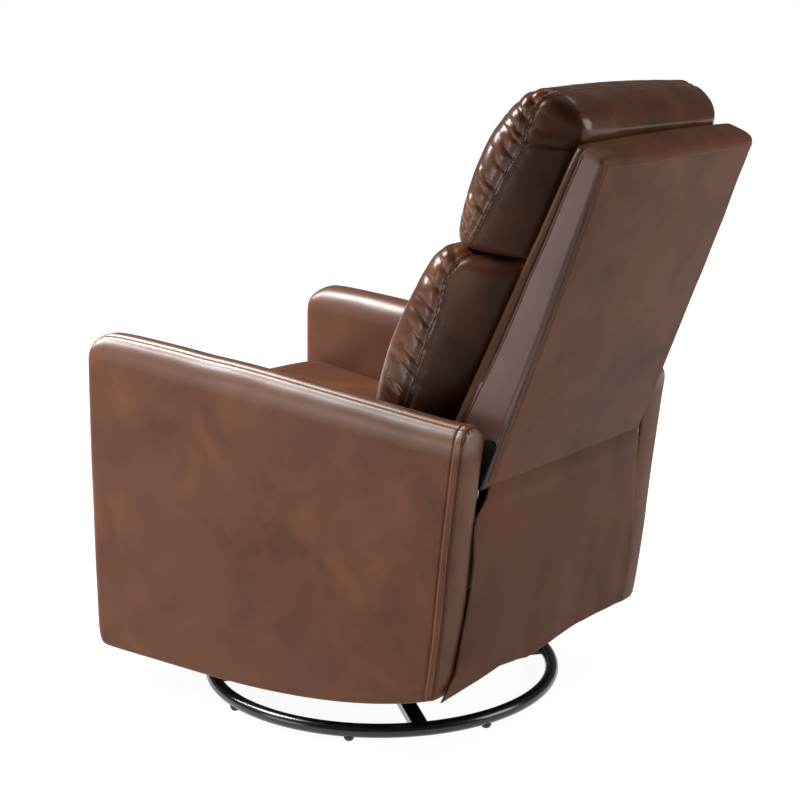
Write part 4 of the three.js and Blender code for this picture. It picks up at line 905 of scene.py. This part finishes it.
def make_pillow(name, node, outline, corners, seam_points, crest, cuts, swells, seed):
    verts, faces, seam, front, behind = pillow(outline, corners, seam_points, crest, cuts, swells, seed)
    is_head = node == "head_pillow"
    if is_head:
        normals = vertex_normals(verts, faces)
        verts = verts + normals * head_gusset(verts, normals)[:, None]
    surface = Surface(verts, faces)

    def placed(part):
        v, f = part
        v = head_warp(v) if is_head else v
        return from_back(v[:, 0], v[:, 1] + 0.6, v[:, 2]), f

    cover = new_object(name, *placed((verts, faces)), PILLOW_LEATHER, "back")
    # The gusset's rear faces take the much darker leather: painted shade in the recess beside the shell.
    cover.data.materials.append(SHADE_PAINTED_LEATHER)
    cover.data.polygons.foreach_set("material_index", behind[np.array(faces)].all(1).astype(np.int32))
    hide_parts(node)
    rows = []
    for side in (1, -1):
        for offset in (-3.4, 3.4):
            path = (seam + front * offset) * [side, 1, 1]
            path = path[3:] if side > 0 else path[3:][::-1]
            rows.append(stitches(surface, path, 4.6, 3.2, 0.55, 0.2))
    # Near-black tubes along the side seams: painted shade in the seam grooves.
    lines = [welt(surface, seam[2:] * [side, 1, 1], 0.75, 0.35) for side in (1, -1)]
    shade = new_object(name + "_seam", *placed(merged(lines)), SEAM_SHADE, "back")
    threads = new_object(name + "_stitch", *placed(merged(rows)), PILLOW_THREAD, "back")


make_pillow("head_pillow_cover", "head_pillow", HEAD_SIDE, HEAD_CORNERS, HEAD_SEAM, HEAD_CREST, HEAD_CUTS, HEAD_SWELLS, 101)
make_pillow("lumbar_pillow_cover", "lumbar_pillow", LUMBAR_SIDE, LUMBAR_CORNERS, LUMBAR_SEAM, LUMBAR_CREST, LUMBAR_CUTS,
            LUMBAR_SWELLS, 202)

# Cover of the back frame

# Side outline of the shell as (rearward, up)
SHELL_TOP, SHELL_HEEL, SHELL_KNEE = (57.5, 636), (105, 86), (72, 37)
SHELL_FRONT_TOP = (1.5, 632)
FOLD_LINE = np.array([(172, 21), (298, 24), (461, 21), (564, 18), (629, 17)])
REAR_LINE = np.array([(163, 86), (264, 82), (373, 76), (488, 65), (597, 60), (633, 52)])


def shell_rear(up):
    return np.interp(up, (SHELL_HEEL[1], SHELL_TOP[1]), (SHELL_HEEL[0], SHELL_TOP[0]))


def make_back():
    slope = np.array(SHELL_TOP) - np.array(SHELL_HEEL)
    slope = slope / np.linalg.norm(slope)
    top, heel = np.array(SHELL_TOP), np.array(SHELL_HEEL)
    heel_turn = bezier(heel - np.array([7, 10.5]), heel, heel + 12 * slope, steps=16)
    top_turn = bezier(top - 20 * slope, top, top + np.array([-20, -1.2]), steps=16)
    front_turn = bezier((10.5, 632.7), SHELL_FRONT_TOP, (0.8, 622), steps=16)
    foot = np.vstack([[(0, 0)], bezier((6, 1), SHELL_KNEE, heel - np.array([7, 10.5]), steps=24), heel_turn[:9]])
    rear = np.vstack([heel_turn[8:], bezier(heel + 12 * slope, (heel + top) / 2 + [2.5, 0], top - 20 * slope, steps=40),
                      top_turn[:9]])
    crest = np.vstack([top_turn[8:], bezier(top + np.array([-20, -1.2]), (28, 634.6), (10.5, 632.7), steps=12),
                       front_turn[:9]])[::-1]
    front = np.vstack([front_turn[8:], bezier((0.8, 622), (0, 300), (0, 0), steps=40), [(0, 0)]])[::-1]
    verts, quads = spanned(
        (foot, crest, front, rear), BACK_HALF, (16, 13, 6, 13), (0.24, 0.17, 0.01, 0.022),
        ((10, 10, 56), (6, 9, 150)), 90, 2.0, lambda out: 3.0)
    x, back, up = verts.T
    corners = ((57, 635, 9), (2, 631, 9))
    eased = sum(np.exp(-(((back - a) ** 2 + (up - b) ** 2) / c**2)) for a, b, c in corners)
    verts = relaxed(verts, quads, np.clip(eased, 0, 1) * 0.5, 8)
    faces = [tuple(f) for f in quads]
    normals = vertex_normals(verts, faces)
    x, back, up = verts.T
    side = np.clip((np.abs(normals[:, 0]) - 0.35) / 0.3, 0, 1) * (up > 60)
    fold = back - np.interp(up, FOLD_LINE[:, 0], FOLD_LINE[:, 1])
    rear = np.interp(up, REAR_LINE[:, 0], REAR_LINE[:, 1]) - back
    wave = smooth_noise(31)
    roll = (0.5 * np.exp(-(((fold + 9) / 8) ** 4)) - 1.7 * np.exp(-(((fold - 1) / 2.2) ** 2))
            + 1.2 * np.exp(-(((rear + 5) / 5) ** 4)) - 1.4 * np.exp(-((rear / 2.0) ** 2))
            + 0.7 * wave(up / 55 + back / 90)) * np.clip((622 - up) / 30, 0, 1)
    rearward = np.clip((normals[:, 1] - 0.6) / 0.3, 0, 1)
    panel = 0.8 * wave(x / 120 + up / 190 + 40) + 0.5 * wave(up / 70 - x / 160)
    seam = BACK_HALF - 9.5 - np.abs(x)
    panel -= 1.0 * np.exp(-((seam / 1.6) ** 2))
    verts = verts + normals * (roll * side + panel * rearward)[:, None]
    surface = Surface(verts, faces)

    def placed(part):
        v, f = part
        return from_back(v[:, 0], -v[:, 1], v[:, 2]), f

    cover = new_object("back_cover", *placed((verts, faces)), PANEL_LEATHER, "back")
    # The side faces take the mauve-tinted copy, whose tint is painted reflection. The front fold bands beside the
    # pillows take the much darker copy, which is painted shade.
    cover.data.materials.append(SIDE_SHEEN_LEATHER)
    cover.data.materials.append(SHADE_PAINTED_LEATHER)
    middle = verts[quads].mean(1)
    folded = middle[:, 1] < np.interp(middle[:, 2], FOLD_LINE[:, 0], FOLD_LINE[:, 1])
    beside = np.abs(normals[quads].mean(1)[:, 0]) > 0.6
    chosen = np.where(folded & (np.abs(middle[:, 0]) > BACK_HALF - 22), 2, np.where(beside, 1, 0))
    cover.data.polygons.foreach_set("material_index", chosen.astype(np.int32))
    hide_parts("back_frame")
    pipes, rows, shades = [], [], []
    heights = np.linspace(94, 622, 160)
    for hand in (1, -1):
        line = np.interp(heights, FOLD_LINE[:, 0], FOLD_LINE[:, 1])
        pipes.append(welt(surface, np.column_stack([np.full(160, hand * (BACK_HALF + 2)), line + 2.2, heights]), 1.1))
        path = np.column_stack([np.full(160, hand * (BACK_HALF - 12.5)), shell_rear(heights) + 3, heights])
        rows.append(stitches(surface, path, 5.0, 3.6, 0.6, 0.25))
        # A near-black tube along each rear corner: painted shade in the corner seam.
        corner = np.column_stack([np.full(160, hand * BACK_HALF), shell_rear(heights), heights])
        shades.append(welt(surface, corner, 0.8, 0.4))
    across = np.linspace(-1, 1, 150) * (BACK_HALF - 12.5)
    rows.append(stitches(surface, np.column_stack([across, np.full(150, 62.0), np.full(150, 622.0)]), 5, 3.6, 0.55, 0.2))
    piping = new_object("back_side_welt", *placed(merged(pipes)), PANEL_LEATHER, "back")
    edge = new_object("back_rear_seam_shade", *placed(merged(shades)), SEAM_SHADE, "back")
    threads = new_object("back_rear_stitch", *placed(merged(rows)), RUST_THREAD, "back")


make_back()

# Rear skirt

SKIRT_TOP, SKIRT_FOOT = 476.0, 126.0
SKIRT_LEFT = np.array([
    (126, 299), (162, 267), (249, 255), (297, 248), (348, 245), (404, 252), (424, 248), (437, 238), (455, 226),
    (476, 217)])
SKIRT_RIGHT = np.array([
    (141, 262), (172, 266), (213, 270), (273, 262), (332, 254), (408, 246), (455, 238), (476, 232)])
SKIRT_HEM = np.array([
    (-262, 137), (-191, 139), (-109, 139), (-20, 133), (52, 125), (78, 130), (139, 138), (205, 132), (300, 126)])


def make_skirt():
    """The loose panel below the back: its top lies on the back frame, its foot hangs behind the arms."""
    levels, columns = 120, 100
    share = np.linspace(0, 1, levels)[:, None]
    across = np.linspace(-1, 1, columns)[None]
    z = SKIRT_TOP + (SKIRT_FOOT - SKIRT_TOP) * share + 0 * across
    left = np.interp(z, SKIRT_LEFT[:, 0], SKIRT_LEFT[:, 1])
    right = np.interp(z, SKIRT_RIGHT[:, 0], SKIRT_RIGHT[:, 1])
    x = -right + (left + right) * (across + 1) / 2
    hem = np.interp(x, SKIRT_HEM[:, 0], SKIRT_HEM[:, 1])
    hang = np.clip((SKIRT_TOP - z) / (SKIRT_TOP - SKIRT_FOOT), 0, 1)
    z = SKIRT_TOP + (hem - SKIRT_TOP) * share
    wave, sway = smooth_noise(71), smooth_noise(72)
    fold = np.clip((455 - z) / 200, 0, 1)
    y = 387.4 + (z - 472) * 0.109
    y = y + fold * (2.6 * wave(x / 95 + z / 700 + 20) + 1.4 * sway(x / 38 + z / 400 + 9) * hang)
    y = y - 4 * np.abs(across) ** 8 * (1 - fold) + 2.2 * np.exp(-(((z - 448) / 16) ** 2))
    y = np.where(z > 470, y - (z - 470) * 0.9, y)
    outer = np.dstack([x, y, z]).reshape(-1, 3)
    inner = outer - [0, 2.4, 0]
    front = grid_faces(levels, columns, 0, False)
    back = grid_faces(levels, columns, len(outer), False)
    total = len(outer)
    index = np.arange(total).reshape(levels, columns)
    edge = np.concatenate([index[0], index[1:, -1], index[-1, -2::-1], index[-2:0:-1, 0]])
    following = np.roll(edge, -1)
    rim = np.stack([edge, following, following + total, edge + total], 1)
    faces = [tuple(f)[::-1] for f in front] + [tuple(f) for f in back] + [tuple(f) for f in rim]
    start, end = metres([[0, 385, 440]])[0], metres([[0, 390, 480]])[0]

    def hung(piece):
        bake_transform(piece)

    piece = new_object("rear_skirt_cover", np.vstack([outer, inner]), faces, PANEL_LEATHER, None)
    hung(piece)
    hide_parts("rear_skirt")
    surface = Surface(np.vstack([outer, inner]), faces)
    left_edge = outer.reshape(levels, columns, 3)[4:-3, -3]
    hem_edge = outer.reshape(levels, columns, 3)[-4, 3:-3]
    rows = [stitches(surface, left_edge - [8, 0, 0], 5, 3.6, 0.5, 0.15), stitches(surface, hem_edge, 5, 3.6, 0.5, 0.15)]
    threads = new_object("rear_skirt_stitch", *merged(rows), BROWN_THREAD, None)
    hung(threads)


make_skirt()

# Seat cushion and footrest pad

CUSHION_HALF = 238.5
PULL_Y = -122


def cushion_outline():
    return np.vstack([
        bezier((-378, 335), (0, 335), (212, 335), steps=20),
        bezier((212, 335), (212, 380), (212, 420), steps=6),
        arc((192, 420), 20, 0, 90, 8),
        bezier((192, 440), (-160, 468), (-320, 492), steps=30),
        bezier((-320, 492), (-398, 496), (-398, 446), steps=16),
        bezier((-398, 446), (-398, 400), (-398, 355), steps=6),
        arc((-378, 355), 20, 180, 270, 8),
    ])


def make_cushion():
    verts, faces = slab(
        cushion_outline(), CUSHION_HALF, lambda n, o: 10 + 14 * np.clip(n[:, 1], 0, 1),
        lambda n, o: 10 * np.clip(n[:, 1], 0, 1), 0, 6.0, 10.0)
    normals = vertex_normals(verts, faces)
    x, y, z = verts.T
    wave = smooth_noise(61)
    lift = 0.8 * wave(x / 70 + y / 110) * np.clip(normals[:, 2], 0, 1)
    verts = verts + normals * lift[:, None]
    x, y = verts[:, 0], verts[:, 1]
    spread = 1 + (ARM_END_Y - y) * math.tan(ARM_SPLAY) / ARM_INNER_X
    at_pull = np.exp(-(((y - PULL_Y) / 34) ** 6)) * (x < 0)
    verts[:, 0] = x * spread * (1 - at_pull) + np.maximum(x * spread, -CUSHION_HALF) * at_pull
    cover = new_object("seat_cushion_cover", verts, faces, BODY_LEATHER, "seat")
    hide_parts("seat_cushion")


def make_footrest_pad():
    low, high = (np.array(c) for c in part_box("footrest_pad"))
    low, high = (low - [0, SWIVEL_Y, 0]) / MM, (high - [0, SWIVEL_Y, 0]) / MM
    radius = 13
    back, front = high[1], low[1]
    foot, top = low[2], high[2]
    outline = np.vstack([
        bezier((back, foot), (back, (foot + top) / 2), (back, top), steps=20),
        bezier((back, top), ((back + front + radius) / 2, top), (front + radius, top), steps=3),
        arc((front + radius, top - radius), radius, 90, 180, 10),
        bezier((front, top - radius), (front, (foot + top) / 2), (front, foot + radius), steps=20),
        arc((front + radius, foot + radius), radius, 180, 270, 10),
        bezier((front + radius, foot), ((back + front + radius) / 2, foot), (back, foot), steps=3),
    ])
    verts, faces = slab(
        outline, high[0], lambda n, o: 1 + 12 * np.clip(-n[:, 0], 0, 1),
        lambda n, o: np.zeros(len(o)), 0, 5.0, 5.0)
    cover = new_object("footrest_pad_cover", verts, faces, BODY_LEATHER, "footrest_panel")
    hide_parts("footrest_pad")


make_cushion()
make_footrest_pad()

# Base ring in smooth tube

RING_RADIUS, RING_TUBE, RING_Z = 309, 12, 17.6
angles = np.linspace(0, 2 * math.pi, 160, endpoint=False)
ring_path = np.column_stack([RING_RADIUS * np.cos(angles), RING_RADIUS * np.sin(angles), np.full(160, RING_Z)])
ring = new_object("ring_tube", *tube(ring_path, RING_TUBE, 20, closed=True), BLACK_ENAMEL, "base")
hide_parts("base_ring")

# Camera, floor and lights

LENS_PX = 1824.6
FRAME_PX = 800
CAMERA_AT = (2472.0, 1916.4, 1259.5)
CAMERA_LOOK = (-0.7747, -0.5876, -0.2335)

camera = bpy.data.objects.new("camera", bpy.data.cameras.new("camera"))
camera.data.sensor_width = 36
camera.data.lens = LENS_PX / FRAME_PX * camera.data.sensor_width
camera.location = metres(CAMERA_AT)
camera.rotation_euler = Vector(CAMERA_LOOK).to_track_quat("-Z", "Y").to_euler()
bpy.context.scene.collection.objects.link(camera)
bpy.context.scene.camera = camera


def white_shown(nodes, links, shader_output, surface, strength, white):
    """Shows a plain white to the camera and to reflections, over part of a surface's own shading."""
    path = nodes.new("ShaderNodeLightPath")
    either = nodes.new("ShaderNodeMath")
    either.operation = "MAXIMUM"
    links.new(path.outputs["Is Camera Ray"], either.inputs[0])
    links.new(path.outputs["Is Glossy Ray"], either.inputs[1])
    also = nodes.new("ShaderNodeMath")
    also.operation = "MAXIMUM"
    links.new(either.outputs[0], also.inputs[0])
    links.new(path.outputs["Is Transmission Ray"], also.inputs[1])
    share = nodes.new("ShaderNodeMath")
    share.operation = "MULTIPLY"
    if isinstance(strength, bpy.types.NodeSocket):
        links.new(strength, share.inputs[1])
    else:
        share.inputs[1].default_value = strength
    links.new(also.outputs[0], share.inputs[0])
    glow = nodes.new("ShaderNodeEmission")
    glow.inputs["Strength"].default_value = white
    mixed = nodes.new("ShaderNodeMixShader")
    links.new(share.outputs[0], mixed.inputs[0])
    links.new(shader_output, mixed.inputs[1])
    links.new(glow.outputs[0], mixed.inputs[2])
    links.new(mixed.outputs[0], surface)


def make_floor():
    mesh = bpy.data.meshes.new("floor")
    size = 9
    mesh.from_pydata([(-size, -size, 0), (size, -size, 0), (size, size, 0), (-size, size, 0)], [], [(0, 1, 2, 3)])
    floor = bpy.data.objects.new("floor", mesh)
    floor.location.z = -0.0005
    bpy.context.scene.collection.objects.link(floor)
    n = Nodes("floor_white")
    n.finish((0.85, 0.85, 0.85), 0.9)
    output = n.tree.nodes["Material Output"].inputs["Surface"]
    away = n.add("ShaderNodeVectorMath", operation="LENGTH")
    n.link(n.place, away.inputs[0])
    share = n.add("ShaderNodeMapRange")
    for key, value in (("From Min", 0.6), ("From Max", 2.4), ("To Min", 0.79), ("To Max", 1.0)):
        share.inputs[key].default_value = value
    n.link(away.outputs["Value"], share.inputs["Value"])
    white_shown(n.tree.nodes, n.tree.links, n.shader.outputs[0], output, share.outputs["Result"], 1.2)
    mesh.materials.append(n.material)


def make_world():
    world = bpy.data.worlds.new("studio")
    world.use_nodes = True
    bpy.context.scene.world = world
    nodes, links = world.node_tree.nodes, world.node_tree.links
    fill = nodes["Background"]
    fill.inputs["Color"].default_value = (1, 1, 1, 1)
    fill.inputs["Strength"].default_value = 0.12
    path = nodes.new("ShaderNodeLightPath")
    white = nodes.new("ShaderNodeBackground")
    white.inputs["Color"].default_value = (1, 1, 1, 1)
    mixed = nodes.new("ShaderNodeMixShader")
    links.new(path.outputs["Is Camera Ray"], mixed.inputs[0])
    links.new(fill.outputs[0], mixed.inputs[1])
    links.new(white.outputs[0], mixed.inputs[2])
    links.new(mixed.outputs[0], nodes["World Output"].inputs["Surface"])


def softbox(name, place, aim, size, power, tint=(1, 1, 1)):
    lamp = bpy.data.lights.new(name, "AREA")
    lamp.shape = "RECTANGLE"
    lamp.size, lamp.size_y = size
    lamp.energy = power
    lamp.color = tint
    light = bpy.data.objects.new(name, lamp)
    light.location = Vector(place)
    light.rotation_euler = (Vector(aim) - Vector(place)).to_track_quat("-Z", "Y").to_euler()
    bpy.context.scene.collection.objects.link(light)


make_floor()
make_world()
softbox("shoulder", (1.1, -1.85, 2.55), (0.2, 0, 0.6), (1.15, 1.15), 122)
softbox("overhead", (-0.6, 0.6, 3.0), (0, 0, 0.5), (1.6, 1.6), 16)
softbox("front", (0.8, -2.8, 1.9), (0.1, 0, 0.8), (0.6, 0.9), 56)
softbox("low_side", (2.6, -1.15, 0.5), (0, 0.3, 0.6), (1.3, 0.95), 15)
softbox("rear", (-1.4, 3.0, 1.5), (0, 0, 0.6), (1.6, 1.6), 52)

bpy.context.scene.view_settings.view_transform = "Standard"
